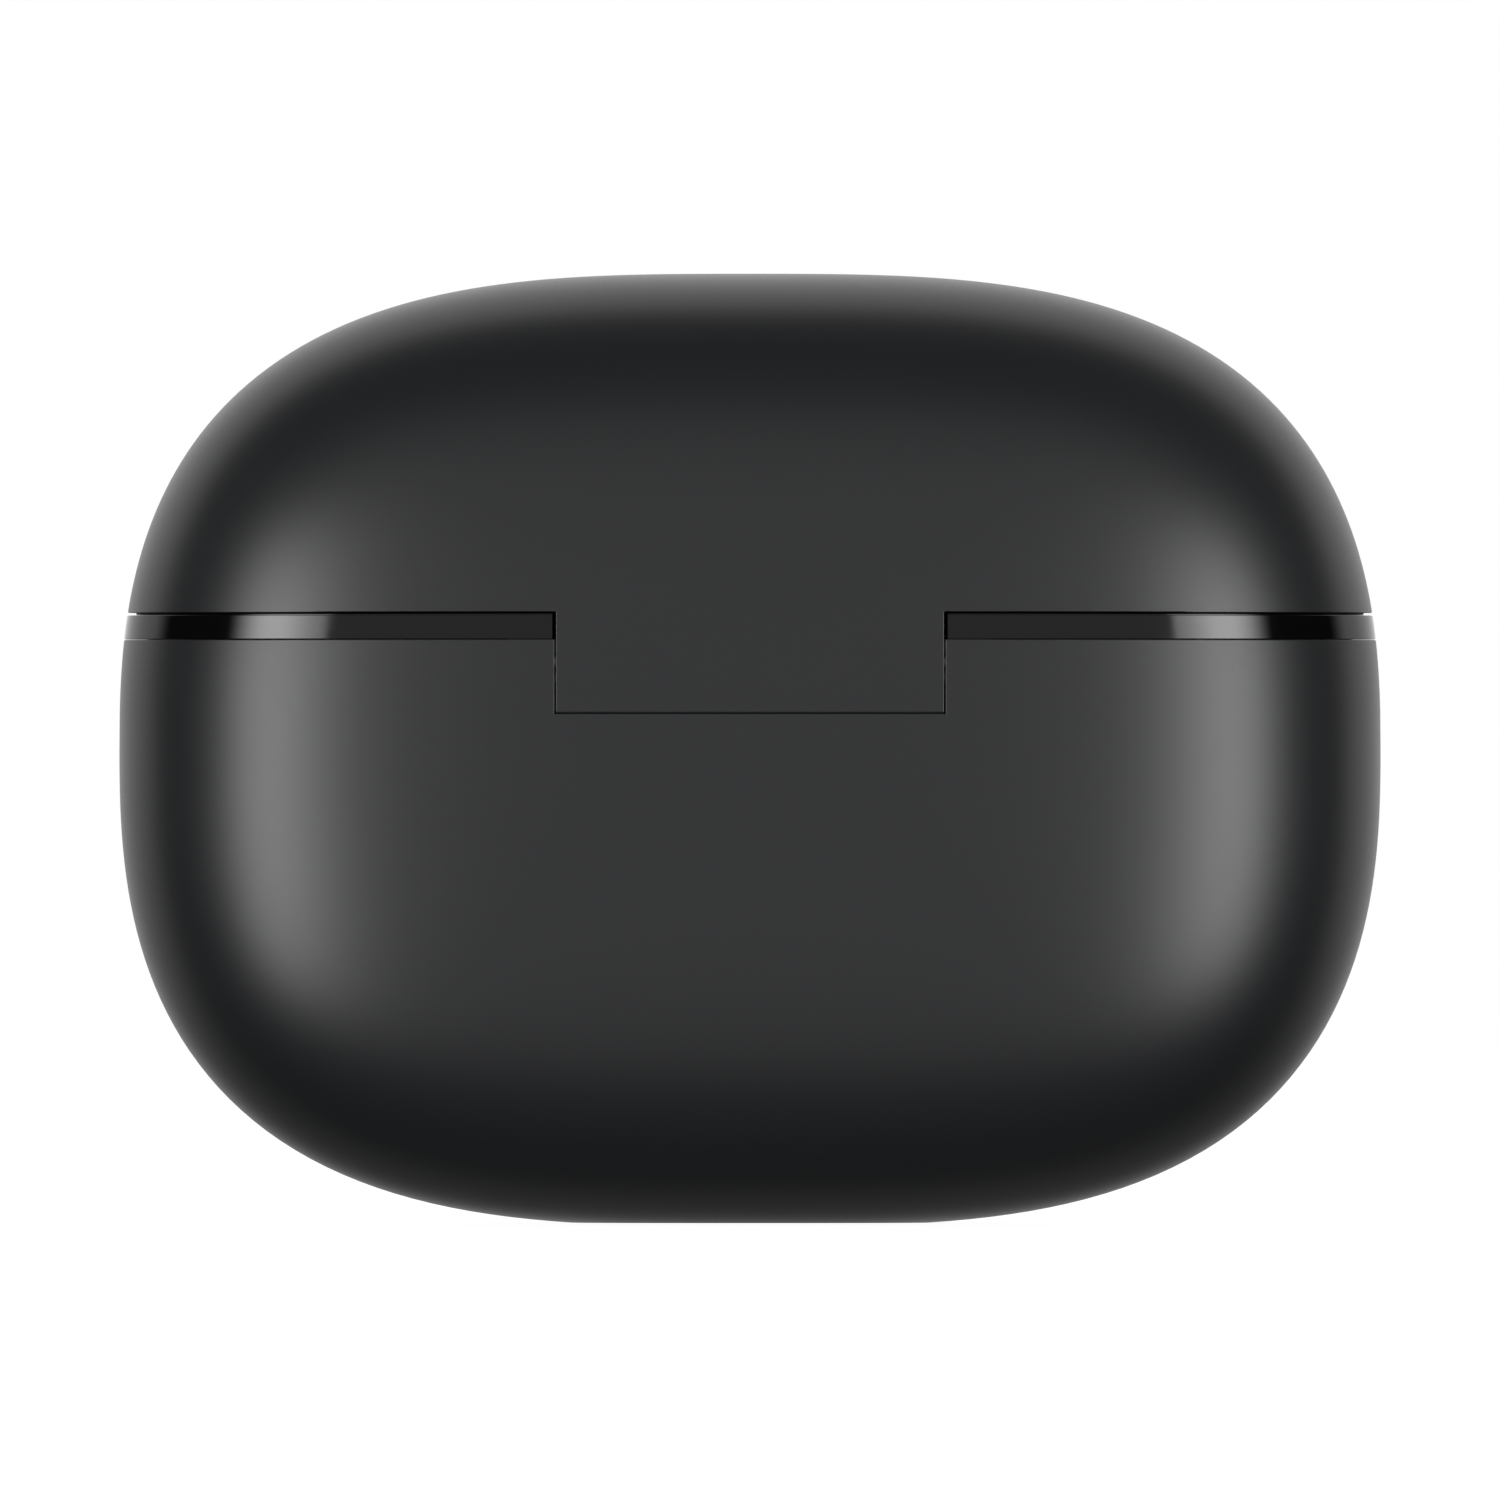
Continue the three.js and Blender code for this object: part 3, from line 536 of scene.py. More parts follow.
def stadium(u, half, r):
    """Points of a slot's outline in the directions of the form's columns."""
    aim = np.arctan2(np.sin(u) * 0.45, np.cos(u))
    dx, dy = np.abs(np.cos(aim)), np.abs(np.sin(aim))
    flat = r / np.maximum(dy, 1e-9)
    c = half - r
    round_end = dx * c + np.sqrt(np.maximum(r ** 2 - (dy * c) ** 2, 0))
    reach = np.where(flat * dx <= c, flat, round_end)
    return np.stack([np.cos(aim) * reach, np.sin(aim) * reach], -1)


def base_shell():
    columns = Columns(NOTCH_HALF + EDGE)
    skin = Skin()
    seam = np.arange(columns.left, columns.right + columns.count + 1)
    across = np.arange(columns.right, columns.left + 1)
    every = np.arange(columns.count)
    notch_x = columns.points(across, TONGUE_Z, 0)[:, 0]
    notch_z = TONGUE_Z - NOTCH_GAP / 0.74
    side = np.linspace(BASE_TOP - EDGE, notch_z - EDGE, 8)
    below = CENTRE_Z - even_heights(CENTRE_Z, CENTRE_Z + HALF_HEIGHT - FOOT_CUT, 46) + CENTRE_Z
    below = below[below < notch_z - EDGE - 0.3]
    heights = np.concatenate([side, below])
    grid = skin.add(columns.points(every[None, :], heights[:, None]))
    last = len(side) - 1
    beside = seam % columns.count
    for r in range(len(heights) - 1):
        if r < last:
            skin.strip(grid[r][beside], grid[r + 1][beside], closed=False)
        else:
            skin.strip(grid[r], grid[r + 1])
    rim = np.concatenate([grid[0][beside], grid[1:last, columns.right]])
    rim = np.concatenate([rim, grid[last][across], grid[last - 1:0:-1, columns.left]])

    def offset(inset):
        around = columns.points(seam, BASE_TOP, inset)
        ends = at_x(np.array([-NOTCH_HALF, NOTCH_HALF]), BASE_TOP, inset)
        around[0], around[-1] = ends[0], ends[1]
        right = at_x(NOTCH_HALF, side[1:-1], inset)
        x = notch_x.copy()
        x[0], x[-1] = NOTCH_HALF, -NOTCH_HALF
        low = at_x(x, notch_z, inset)
        low[:, 2] = under_arc(x, low[:, 1], NOTCH_GAP)
        left = at_x(-NOTCH_HALF, side[-2:0:-1], inset)
        return skin.add(np.concatenate([around, right, low, left]))

    edge = offset(EDGE)
    inner_rim = offset(WALL)
    skin.strip(rim, edge)
    skin.strip(edge, inner_rim)
    foot = on_form(columns.u, 0.0)[:, :2]
    slot = stadium(columns.u, PORT_HALF, PORT_R)
    wide = stadium(columns.u, PORT_HALF + 0.15, PORT_R + 0.15)
    ring = [grid[-1]]
    for plan, z in [((foot + wide) / 2, 0.0), (wide, 0.0), (slot, 0.15), (slot, 1.02)]:
        ring.append(skin.add(np.column_stack([plan, np.full(len(plan), z)])))
    skin.rows(ring)
    inner_heights = CENTRE_Z - even_heights(CENTRE_Z, CENTRE_Z + HALF_HEIGHT - WALL - 0.15, 26) + CENTRE_Z
    inner_heights = inner_heights[inner_heights < notch_z - 1.6][::-1]
    inner_side = np.linspace(notch_z - 1.2, BASE_TOP - 0.5, 8)
    floor = skin.add(columns.points(every[None, :], inner_heights[:, None], WALL))
    skin.strip(ring[-1], floor[0])
    skin.rows(floor)
    walls = skin.add(columns.points(every[None, :], inner_side[:, None], WALL))
    skin.strip(floor[-1], walls[0])
    for r in range(len(walls) - 1):
        skin.strip(walls[r][beside], walls[r + 1][beside], closed=False)
    top = len(walls) - 1
    inner = np.concatenate([walls[top][beside], walls[top - 1:0:-1, columns.right]])
    inner = np.concatenate([inner, walls[0][across], walls[1:top, columns.left]])
    skin.strip(inner_rim, inner)
    used = sorted({i for f in skin.faces for i in f})
    renumber = {old: new for new, old in enumerate(used)}
    faces = [tuple(renumber[i] for i in f) for f in skin.faces]
    made = make_object("base_shell_moulding", [skin.points[i] for i in used], faces)
    face_outwards(made)
    front = -float(rear_y(0.0, LIGHT_Z))
    window = [(0.98, -20), (0.98, front - 0.2), (0.9, front + 0.08), (0.9, -9)]
    carve(made, [turned("window", window, 48, "Y", (0, 0, LIGHT_Z))])
    return finish_piece(made, "base", CHARCOAL, ["base_shell"], on_outer_form=True)


# ---- Boolean tools for the mouldings ----


def carve(target, tools, operation="DIFFERENCE"):
    """Joins tools to the target or cuts them from it, and removes them."""
    for tool in tools:
        step = target.modifiers.new("carve", "BOOLEAN")
        step.operation = operation
        step.solver = "EXACT"
        step.object = tool
        shapes = bpy.context.evaluated_depsgraph_get()
        result = bpy.data.meshes.new_from_object(target.evaluated_get(shapes))
        target.modifiers.clear()
        old = target.data
        target.data = result
        bpy.data.meshes.remove(old)
        bpy.data.objects.remove(tool)
    return target


def closed_loft(name, rings, tip_high=None):
    """A closed solid through rings of points, with flat caps, or a tip on its last ring."""
    skin = Skin()
    grid = [skin.add(ring) for ring in rings]
    skin.rows(grid)
    skin.faces.append(tuple(int(i) for i in grid[0]))
    if tip_high is None:
        skin.faces.append(tuple(int(i) for i in grid[-1]))
    else:
        skin.fan(grid[-1], skin.add(np.array(tip_high, float)))
    made = make_object(name, skin.points, skin.faces)
    face_outwards(made)
    return made


def turned(name, profile, steps=48, axis="Z", centre=(0, 0, 0)):
    """A turned solid. The profile is (radius, height) pairs, and its ends are capped flat."""
    turn = np.linspace(0, 2 * math.pi, steps, endpoint=False)
    rings = []
    for r, h in profile:
        a, b = r * np.cos(turn), r * np.sin(turn)
        along = np.full(steps, float(h))
        order = {"X": (along, a, b), "Y": (a, along, b), "Z": (a, b, along)}[axis]
        rings.append(np.stack(order, -1) + np.array(centre))
    return closed_loft(name, rings)


def block(name, lo, hi, bevel=0.0, segments=2):
    x, y, z = zip(lo, hi)
    ends = [[(x[0], y[0], h), (x[1], y[0], h), (x[1], y[1], h), (x[0], y[1], h)] for h in z]
    made = closed_loft(name, [np.array(e, float) for e in ends])
    if bevel:
        soften(made, bevel, segments)
    return made


def soften(made, width, segments=2, angle=40):
    """Bevels the edges over an angle, for good."""
    step = made.modifiers.new("soften", "BEVEL")
    step.width = width * MM
    step.segments = segments
    step.limit_method = "ANGLE"
    step.angle_limit = math.radians(angle)
    step.use_clamp_overlap = True
    shapes = bpy.context.evaluated_depsgraph_get()
    result = bpy.data.meshes.new_from_object(made.evaluated_get(shapes))
    made.modifiers.clear()
    made.data = result
    return made


# ---- Cradle: gloss band, deck, earbud pockets, hinge well and pin blocks ----
SIDES = {"left": -1, "right": 1}
DECK_UNDER = BASE_TOP + 0.04
BOWL_CENTRE = (16.6, -0.6)
BOWL_RADII = (8.4, 7.4, 11.5)
BOWL_Z = LIP_TOP + 0.2
STEM_CENTRE = (19.6, 0.0)
STEM_RADII = (3.6, 3.9)
POCKET_FLOOR = 10.2
POCKET_WALL = 1.0
POCKET_AXIS = (16.9, -0.5)  # a point inside both the bowl and the stem at every height
POCKET_STEPS = 112
RIM_FLARE = 0.8
FLOOR_FILLET = 0.7
BUTTON_Y = -1.0
BUTTON_HOLE_R = 2.7
JOIN = 0.3  # how far joined solids run into each other
SKIRT_IN = 2.1  # the skirt that stands inside the base shell
SKIRT_Z = 26.5


def reach(turn, start, centre, radii):
    """How far it is from start to an ellipse's edge in each direction, or 0 from outside it."""
    dx, dy = np.cos(turn) / radii[0], np.sin(turn) / radii[1]
    px, py = (start[0] - centre[0]) / radii[0], (start[1] - centre[1]) / radii[1]
    a = dx ** 2 + dy ** 2
    b = dx * px + dy * py
    c = px ** 2 + py ** 2 - 1
    if c >= 0:
        return np.zeros_like(turn)
    return (-b + np.sqrt(b ** 2 - a * c)) / a


def pocket_section(z):
    """Radii of the pocket round its axis at a height: the bowl and the stem flow together."""
    turn = np.linspace(0, 2 * math.pi, POCKET_STEPS, endpoint=False)
    share = math.sqrt(max(1 - ((BOWL_Z - z) / BOWL_RADII[2]) ** 2, 0.0))
    bowl = np.zeros_like(turn)
    if share > 0:
        bowl = reach(turn, POCKET_AXIS, BOWL_CENTRE, (BOWL_RADII[0] * share, BOWL_RADII[1] * share))
    stem = reach(turn, POCKET_AXIS, STEM_CENTRE, STEM_RADII)
    blend = 18
    return turn, (bowl ** blend + stem ** blend) ** (1 / blend)


def pocket_ring(side, z, grow):
    turn, radius = pocket_section(z)
    radius = radius + grow
    x = side * (POCKET_AXIS[0] + radius * np.cos(turn))
    y = POCKET_AXIS[1] + radius * np.sin(turn)
    return np.stack([x, y, np.full_like(x, z)], -1)


def rounded(distance, radius):
    """How far a quarter-round of that radius stands back at a distance from its tangent line."""
    left = min(max(1 - distance / radius, 0.0), 1.0)
    return radius * (1 - math.sqrt(1 - left ** 2))


def pocket_inside(side):
    rings = []
    low = [POCKET_FLOOR + FLOOR_FILLET * s for s in (0, 0.06, 0.2, 0.45, 1)]
    middle = list(np.linspace(POCKET_FLOOR + 1.2, LIP_TOP - RIM_FLARE, 46))
    high = [LIP_TOP - RIM_FLARE * s for s in (0.7, 0.45, 0.25, 0.12, 0.04, 0)]
    for z in low + middle + high:
        grow = rounded(LIP_TOP - z, RIM_FLARE) - rounded(z - POCKET_FLOOR, FLOOR_FILLET)
        rings.append(pocket_ring(side, z, grow))
    rings.append(rings[-1] + np.array([0, 0, 1.0]))
    return closed_loft("pocket", rings)


def pocket_outside(side):
    rings = [pocket_ring(side, z, POCKET_WALL) for z in np.linspace(POCKET_FLOOR, DECK_UNDER + JOIN, 40)]
    rings.insert(0, rings[0] - np.array([0, 0, POCKET_WALL]))
    return closed_loft("cup", rings)


def cradle():
    columns = Columns(WELL_HALF)
    every = np.arange(columns.count)
    low = BASE_TOP + 0.03
    profile = [(SKIRT_IN, DECK_UNDER), (SKIRT_IN, SKIRT_Z), (FIT, SKIRT_Z), (FIT, low)]
    profile += [(BAND_EDGE, low), (0.0, low + BAND_EDGE)]
    profile += [(0.0, z) for z in np.linspace(low + BAND_EDGE, BAND_TOP - BAND_EDGE, 5)[1:]]
    profile += [(BAND_EDGE, BAND_TOP), (LIP_INSET, BAND_TOP), (LIP_INSET, LIP_TOP - 0.12)]
    profile += [(LIP_INSET + 0.04, LIP_TOP - 0.03), (LIP_INSET + 0.12, LIP_TOP)]
    rings = [columns.points(every, z, inset) for inset, z in profile]
    body = closed_loft("cradle_moulding", rings)
    cups = [pocket_outside(side) for side in SIDES.values()]
    trough = turned("trough", [(WELL_R + 0.85, -11.6), (WELL_R + 0.85, 11.6)], 72, "X", (0, HINGE.y, HINGE.z))
    above = block("spare", (-15, 0, DECK_UNDER + JOIN), (15, 20, 50))
    beyond = block("spare", (-15, 11.9, 20), (15, 20, 50))
    carve(trough, [above, beyond])
    blocks = [
        block("pin_block", (min(a, b), 9.2, HINGE.z - 1.4), (max(a, b), 12.15, DECK_UNDER + JOIN))
        for a, b in [(-13.0, -WELL_HALF), (WELL_HALF, 13.0)]
    ]
    carve(body, [trough, *cups, *blocks], "UNION")
    well = turned("well", [(WELL_R, -WELL_HALF), (WELL_R, WELL_HALF)], 96, "X", (0, HINGE.y, HINGE.z))
    behind = block("behind", (-WELL_HALF, HINGE.y, HINGE.z - 2), (WELL_HALF, 30, 50))
    hole = turned(
        "hole",
        [(BUTTON_HOLE_R, 28), (BUTTON_HOLE_R, LIP_TOP - 0.25), (BUTTON_HOLE_R + 0.25, LIP_TOP),
         (BUTTON_HOLE_R + 0.25, LIP_TOP + 1)],
        64, "Z", (0, BUTTON_Y, 0),
    )
    carve(body, [well, behind, hole, *[pocket_inside(side) for side in SIDES.values()]])
    front = turned("front", [(0.95, -20), (0.95, -9)], 40, "Y", (0, 0, LIGHT_Z))
    carve(body, [front])
    return finish_piece(body, "base", GLOSS, ["cradle"], on_outer_form=True)


# ---- Lid liner: a flange with two domed recesses ----
FLANGE = 1.1
RECESS_RISE = 8.5
RECESS_WALL = 0.9
ARM_CLEAR = 2.1


def dome(side, grow, flare=0.0, below_by=0.0):
    """An upper half ellipsoid over a pocket, with a flared mouth."""
    rx, ry, rz = BOWL_RADII[0] + grow, BOWL_RADII[1] + grow, RECESS_RISE + grow
    turn = np.linspace(0, 2 * math.pi, 112, endpoint=False)
    rings = []
    mouth = [flare * s for s in (0, 0.04, 0.12, 0.25, 0.45, 0.7)] if flare else [0.0]
    heights = mouth + list(rz * np.sin(np.linspace(0.1 if flare else 0.05, math.pi / 2 - 0.06, 26)))
    for h in heights:
        share = math.sqrt(1 - (h / rz) ** 2)
        wide = rounded(h, flare) if flare else 0.0
        x = side * (BOWL_CENTRE[0] + (rx * share + wide) * np.cos(turn))
        y = BOWL_CENTRE[1] + (ry * share + wide) * np.sin(turn)
        rings.append(np.stack([x, y, np.full_like(x, LINER_Z + h)], -1))
    if below_by:
        rings.insert(0, rings[0] - np.array([0, 0, below_by]))
    return closed_loft("dome", rings, tip_high=(side * BOWL_CENTRE[0], BOWL_CENTRE[1], LINER_Z + rz))


def swing_form(clearance):
    """What the lid's rear sweeps round as it turns about the hinge."""
    turn = np.linspace(0, 2 * math.pi, 72, endpoint=False)
    rings = []
    for x in np.linspace(-24.15, 24.15, 61):
        r = float(swing_radius(x)) + clearance
        ring = [np.full_like(turn, x), HINGE.y + r * np.cos(turn), HINGE.z + r * np.sin(turn)]
        rings.append(np.stack(ring, -1))
    return closed_loft("swing", rings)


def arm_space():
    """Room behind the liner for the hinge arm."""
    x = np.linspace(-TONGUE_HALF, TONGUE_HALF, 25)
    rings = []
    for z in np.linspace(30, 46, 40):
        near = at_x(x, z, ARM_CLEAR)
        far = near[::-1] + np.array([0, 12, 0])
        rings.append(np.concatenate([near, far]))
    return closed_loft("arm_space", rings)


def lid_liner():
    columns = Columns(TONGUE_HALF)
    every = np.arange(columns.count)
    top = LINER_Z + FLANGE
    profile = [(FIT + 0.12, LINER_Z), (FIT + 0.04, LINER_Z + 0.03), (FIT, LINER_Z + 0.12)]
    profile += [(FIT, top - 0.3), (FIT, top)]
    body = closed_loft("liner_moulding", [columns.points(every, z, inset) for inset, z in profile])
    carve(body, [dome(side, RECESS_WALL) for side in SIDES.values()], "UNION")
    cutters = [dome(side, 0.0, flare=0.7, below_by=1.0) for side in SIDES.values()]
    carve(body, [*cutters, arm_space(), swing_form(0.06)])
    return finish_piece(body, "lid", SATIN, ["lid_liner"])


# ---- Hinge: arm, screws, pin and spring ----
ARM_HALF = 10.1
ARM_Z = (28.23, 38.48)
ARM_OUT, ARM_IN = 1.25, 1.95
KNUCKLE_R = 1.05
KNUCKLE_IN = 3.6
ARM_SCREW = (7.0, 35.98)


def hinge_arm():
    x = np.linspace(-ARM_HALF, ARM_HALF, 41)
    rings = []
    for z in np.linspace(*ARM_Z, 32):
        back = at_x(x, z, ARM_OUT)
        front = at_x(x, z, ARM_IN)[::-1]
        rings.append(np.concatenate([back, front]))
    arm = closed_loft("hinge_arm_plate", rings)
    soften(arm, 0.12, 2, 60)
    gap = block("gap", (-KNUCKLE_IN, 5, 20), (KNUCKLE_IN, 20, HINGE.z + 2.3))
    soften(gap, 0.5, 4, 60)
    tubes = []
    for side in SIDES.values():
        ends = sorted((side * KNUCKLE_IN, side * ARM_HALF))
        tubes.append(knuckle(*ends))
    carve(arm, [gap])
    carve(arm, tubes, "UNION")
    for side in SIDES.values():
        carve(arm, [turned("hole", [(1.12, 5), (1.12, 10.4), (0.6, 10.5), (0.6, 14)], 40, "Y",
                           (side * ARM_SCREW[0], 0, ARM_SCREW[1]))])
    return finish_piece(arm, "lid", STEEL, ["hinge_arm"])


def knuckle(x0, x1):
    edge = 0.12
    profile = [(KNUCKLE_R - edge, x0), (KNUCKLE_R, x0 + edge), (KNUCKLE_R, x1 - edge), (KNUCKLE_R - edge, x1)]
    return turned("knuckle", profile, 56, "X", (0, HINGE.y, HINGE.z))


def screw(name, node, body, centre, head_r, shank_r, head_y, tip_y, facing):
    """A cross-head screw along Y. facing is the way its head looks."""
    rise = head_y - facing * 0.6
    profile = [(shank_r * 0.6, tip_y), (shank_r, tip_y + facing * 0.3), (shank_r, rise)]
    profile += [(head_r, rise), (head_r, head_y - facing * 0.18), (head_r - 0.14, head_y)]
    made = turned(name, profile, 40, "Y", (centre[0], 0, centre[1]))
    face_outwards(made)
    slots = []
    for wide, tall in [(0.62, 0.16), (0.16, 0.62)]:
        y = sorted((head_y - facing * 0.35, head_y + facing))
        lo = (centre[0] - wide, y[0], centre[1] - tall)
        slots.append(block("cross", lo, (centre[0] + wide, y[1], centre[1] + tall)))
    carve(made, slots)
    return finish_piece(made, body, STEEL, [node])


def hinge_pin():
    half = 12.7
    profile = [(0.4, -half), (0.5, -half + 0.1), (0.5, half - 0.1), (0.4, half)]
    made = turned("hinge_pin_rod", profile, 40, "X", (0, HINGE.y, HINGE.z))
    return finish_piece(made, "base", STEEL, ["hinge_pin"])


def tube(name, path, radius, sides=12):
    """A round wire along a path of points."""
    path = np.asarray(path, float)
    tangent = np.gradient(path, axis=0)
    tangent /= np.linalg.norm(tangent, axis=1, keepdims=True)
    turn = np.linspace(0, 2 * math.pi, sides, endpoint=False)
    across = np.cross(tangent[0], (0.3, 0.5, 0.8))
    rings = []
    for point, ahead in zip(path, tangent):
        across = across - ahead * np.dot(across, ahead)
        across /= np.linalg.norm(across)
        other = np.cross(ahead, across)
        rings.append(point + radius * (np.outer(np.cos(turn), across) + np.outer(np.sin(turn), other)))
    return closed_loft(name, rings)


def smooth_path(points, steps):
    """A smooth curve through points."""
    points = np.asarray(points, float)
    ends = np.vstack([2 * points[0] - points[1], points, 2 * points[-1] - points[-2]])
    path = []
    for a, b, c, d in zip(ends[:-3], ends[1:-2], ends[2:-1], ends[3:]):
        for t in np.linspace(0, 1, steps, endpoint=False):
            near = 2 * b + (c - a) * t + (2 * a - 5 * b + 4 * c - d) * t ** 2
            path.append((near + (3 * b - a - 3 * c + d) * t ** 3) / 2)
    path.append(points[-1])
    return path


def torsion_spring():
    coil_r, coil_half, turns, wire = 0.95, 2.7, 5, 0.17
    first, last = math.radians(158), math.radians(90 + 360 * turns)
    share = np.linspace(0, 1, turns * 12 + 1)
    angle = first + share * (last - first)
    coil = np.stack([
        coil_half * (1 - 2 * share),
        HINGE.y + coil_r * np.cos(angle),
        HINGE.z + coil_r * np.sin(angle),
    ], -1)
    lid_end = (coil_half + 0.15, HINGE.y, HINGE.z + 2.85)
    base_end = (-coil_half - 0.15, HINGE.y - 3.5, HINGE.z + 1.0)
    made = tube("torsion_spring_wire", smooth_path([lid_end, *coil, base_end], 4), wire)
    smooth_shade(made)
    made.data.materials.append(STEEL)
    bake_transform(made)
    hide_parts("torsion_spring")


# ---- Pair button, contacts, charging socket, light window ----


def pair_button():
    top = LIP_TOP - 0.1
    dish = [(2.5 - 0.18, top), (2.1, top - 0.03)]
    dish += [(2.1 * s, top - 0.03 - 0.16 * (1 - s ** 2)) for s in (0.85, 0.65, 0.4, 0.15)]
    profile = [(0.8, 30.4), (0.8, 30.6), (3.1, 30.6), (3.1, 31.2), (2.5, 31.2)]
    profile += [(2.5, top - 0.2), (2.5 - 0.06, top - 0.06), *dish]
    made = turned("pair_button_cap", profile, 72, "Z", (0, BUTTON_Y, 0))
    return finish_piece(made, "button", SATIN, ["pair_button"])


PLUNGER_R = 0.42
PLUNGER_LOW = 7.6
PLUNGER_RISE = 0.8
TIP_ROUND = 0.3
CONTACT_APART = 3.0
COIL_R = 0.34
COIL_WIRE = 0.07
COIL_TURNS = 4


def contacts():
    """The plungers' tips, each with the coil under it."""
    for label, side in SIDES.items():
        for i, step in enumerate((-CONTACT_APART / 2, CONTACT_APART / 2)):
            x = side * STEM_CENTRE[0] + step
            top = POCKET_FLOOR + PLUNGER_RISE
            profile = [(PLUNGER_R, PLUNGER_LOW), (PLUNGER_R, top - TIP_ROUND)]
            for a in (0.3, 0.6, 0.9, 1.2, 1.45):
                profile.append((PLUNGER_R * math.cos(a), top - TIP_ROUND + TIP_ROUND * math.sin(a)))
            name = f"{label}_{i + 1}"
            made = turned(f"plunger_tip_{name}", profile, 32, "Z", (x, 0, 0))
            finish_piece(made, f"plunger_{name}", GOLD, [f"contact_plunger_{name}"])
            contact_spring(name, x)


def contact_spring(name, x):
    """A coil under a plunger."""
    low = node_low(f"contact_spring_{name}").z + COIL_WIRE
    high = node_high(f"contact_spring_{name}").z - COIL_WIRE
    share = np.linspace(0, 1, COIL_TURNS * 20 + 1)
    angle = 2 * math.pi * COIL_TURNS * share
    path = np.stack([
        x + COIL_R * np.cos(angle),
        COIL_R * np.sin(angle),
        low + (high - low) * share,
    ], -1)
    made = tube(f"contact_coil_{name}", path, COIL_WIRE, 10)
    finish_piece(made, "base", STEEL, [f"contact_spring_{name}"])
    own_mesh(made)


def stadium_ring(half, r, z, steps=24):
    right = np.linspace(-math.pi / 2, math.pi / 2, steps)
    left = right + math.pi
    x = np.concatenate([half - r + r * np.cos(right), r - half + r * np.cos(left)])
    y = np.concatenate([r * np.sin(right), r * np.sin(left)])
    return np.stack([x, y, np.full_like(x, z)], -1)


SOCKET = (4.47, 1.63)
SOCKET_WALL = 0.3
SOCKET_Z = (0.4, 7.7)
CORE_INSET = 0.4
CORE_Z = (7.6, 6.2)
PAD_COUNT = 12
PAD_PITCH = 0.5
PAD_HALF = 0.13
PAD_Y = (0.33, 0.38)
PAD_Z = (2.1, 5.6)


def socket():
    half, r = SOCKET
    low, high = SOCKET_Z
    rings = []
    for inset, z in [(0, high), (0, low + 0.12), (0.05, low + 0.03), (0.15, low), (0.25, low + 0.03),
                     (SOCKET_WALL, low + 0.12), (SOCKET_WALL, high), (0, high)]:
        rings.append(stadium_ring(half - inset, r - inset, z))
    skin = Skin()
    grid = [skin.add(ring) for ring in rings[:-1]]
    skin.rows([*grid, grid[0]])
    made = make_object("socket_shell", skin.points, skin.faces)
    face_outwards(made)
    finish_piece(made, "base", NICKEL, ["usb_shell"])
    core_half, core_r = half - CORE_INSET, r - CORE_INSET
    core = closed_loft("socket_core", [stadium_ring(core_half, core_r, z) for z in CORE_Z])
    blade = block("socket_blade", (-3.35, -0.35, 1.6), (3.35, 0.35, 6.4), 0.1, 2)
    carve(core, [blade], "UNION")
    finish_piece(core, "base", CHIP, ["usb_tongue"])
    pads = Skin()
    for face in (-1, 1):
        for i in range(PAD_COUNT):
            x = (i - (PAD_COUNT - 1) / 2) * PAD_PITCH
            y = sorted(face * depth for depth in PAD_Y)
            lo = (x - PAD_HALF, y[0], PAD_Z[0])
            hi = (x + PAD_HALF, y[1], PAD_Z[1])
            one = block("pad", lo, hi)
            first = len(pads.points)
            pads.points.extend([tuple(v.co / MM) for v in one.data.vertices])
            pads.faces.extend([tuple(first + k for k in f.vertices) for f in one.data.polygons])
            bpy.data.objects.remove(one)
    made = make_object("socket_pads", pads.points, pads.faces)
    finish_piece(made, "base", GOLD, ["usb_tongue"])


LIGHT_R = 0.8


def light_pipe():
    """The light pipe's outer end is a lens a hair inside the form."""
    front = -rear_y(0.0, LIGHT_Z, 0.02)
    profile = [(LIGHT_R, -9.3), (LIGHT_R, front + 0.1)]
    profile += [(LIGHT_R * s, front + 0.1 * s ** 2) for s in (0.95, 0.8, 0.5, 0.2)]
    made = turned("light_lens", profile, 40, "Y", (0, 0, LIGHT_Z))
    return finish_piece(made, "base", LENS_CLEAR, ["light_pipe"])


lid_shell()
base_shell()
cradle()
lid_liner()
hinge_arm()
for label, side in SIDES.items():
    place = (side * ARM_SCREW[0], ARM_SCREW[1])
    screw(f"arm_screw_head_{label}", f"arm_screw_{label}", "lid", place, 1.0, 0.42, 9.9, 12.3, -1)
hinge_pin()
torsion_spring()
pair_button()
contacts()
socket()
light_pipe()

# ---- Stage: pale floor, soft studio light, camera ----


def floor():
    half = 1.2
    corners = [(-half, -half, 0), (half, -half, 0), (half, half, 0), (-half, half, 0)]
    mesh = bpy.data.meshes.new("floor")
    mesh.from_pydata(corners, [], [(0, 1, 2, 3)])
    made = bpy.data.objects.new("floor", mesh)
    bpy.context.scene.collection.objects.link(made)
    n = Nodes("floor_white")
    speck = n.noise(60.0, 2.0)
    n.set(Base_Color=n.tint(speck, (0.10, 0.10, 0.10), (0.105, 0.105, 0.105)), Roughness=0.9)
    n.shader.inputs["Emission Color"].default_value = (1, 1, 1, 1)
    n.shader.inputs["Emission Strength"].default_value = 0.95
    made.data.materials.append(n.material)
    made.visible_glossy = False
    made.visible_diffuse = False


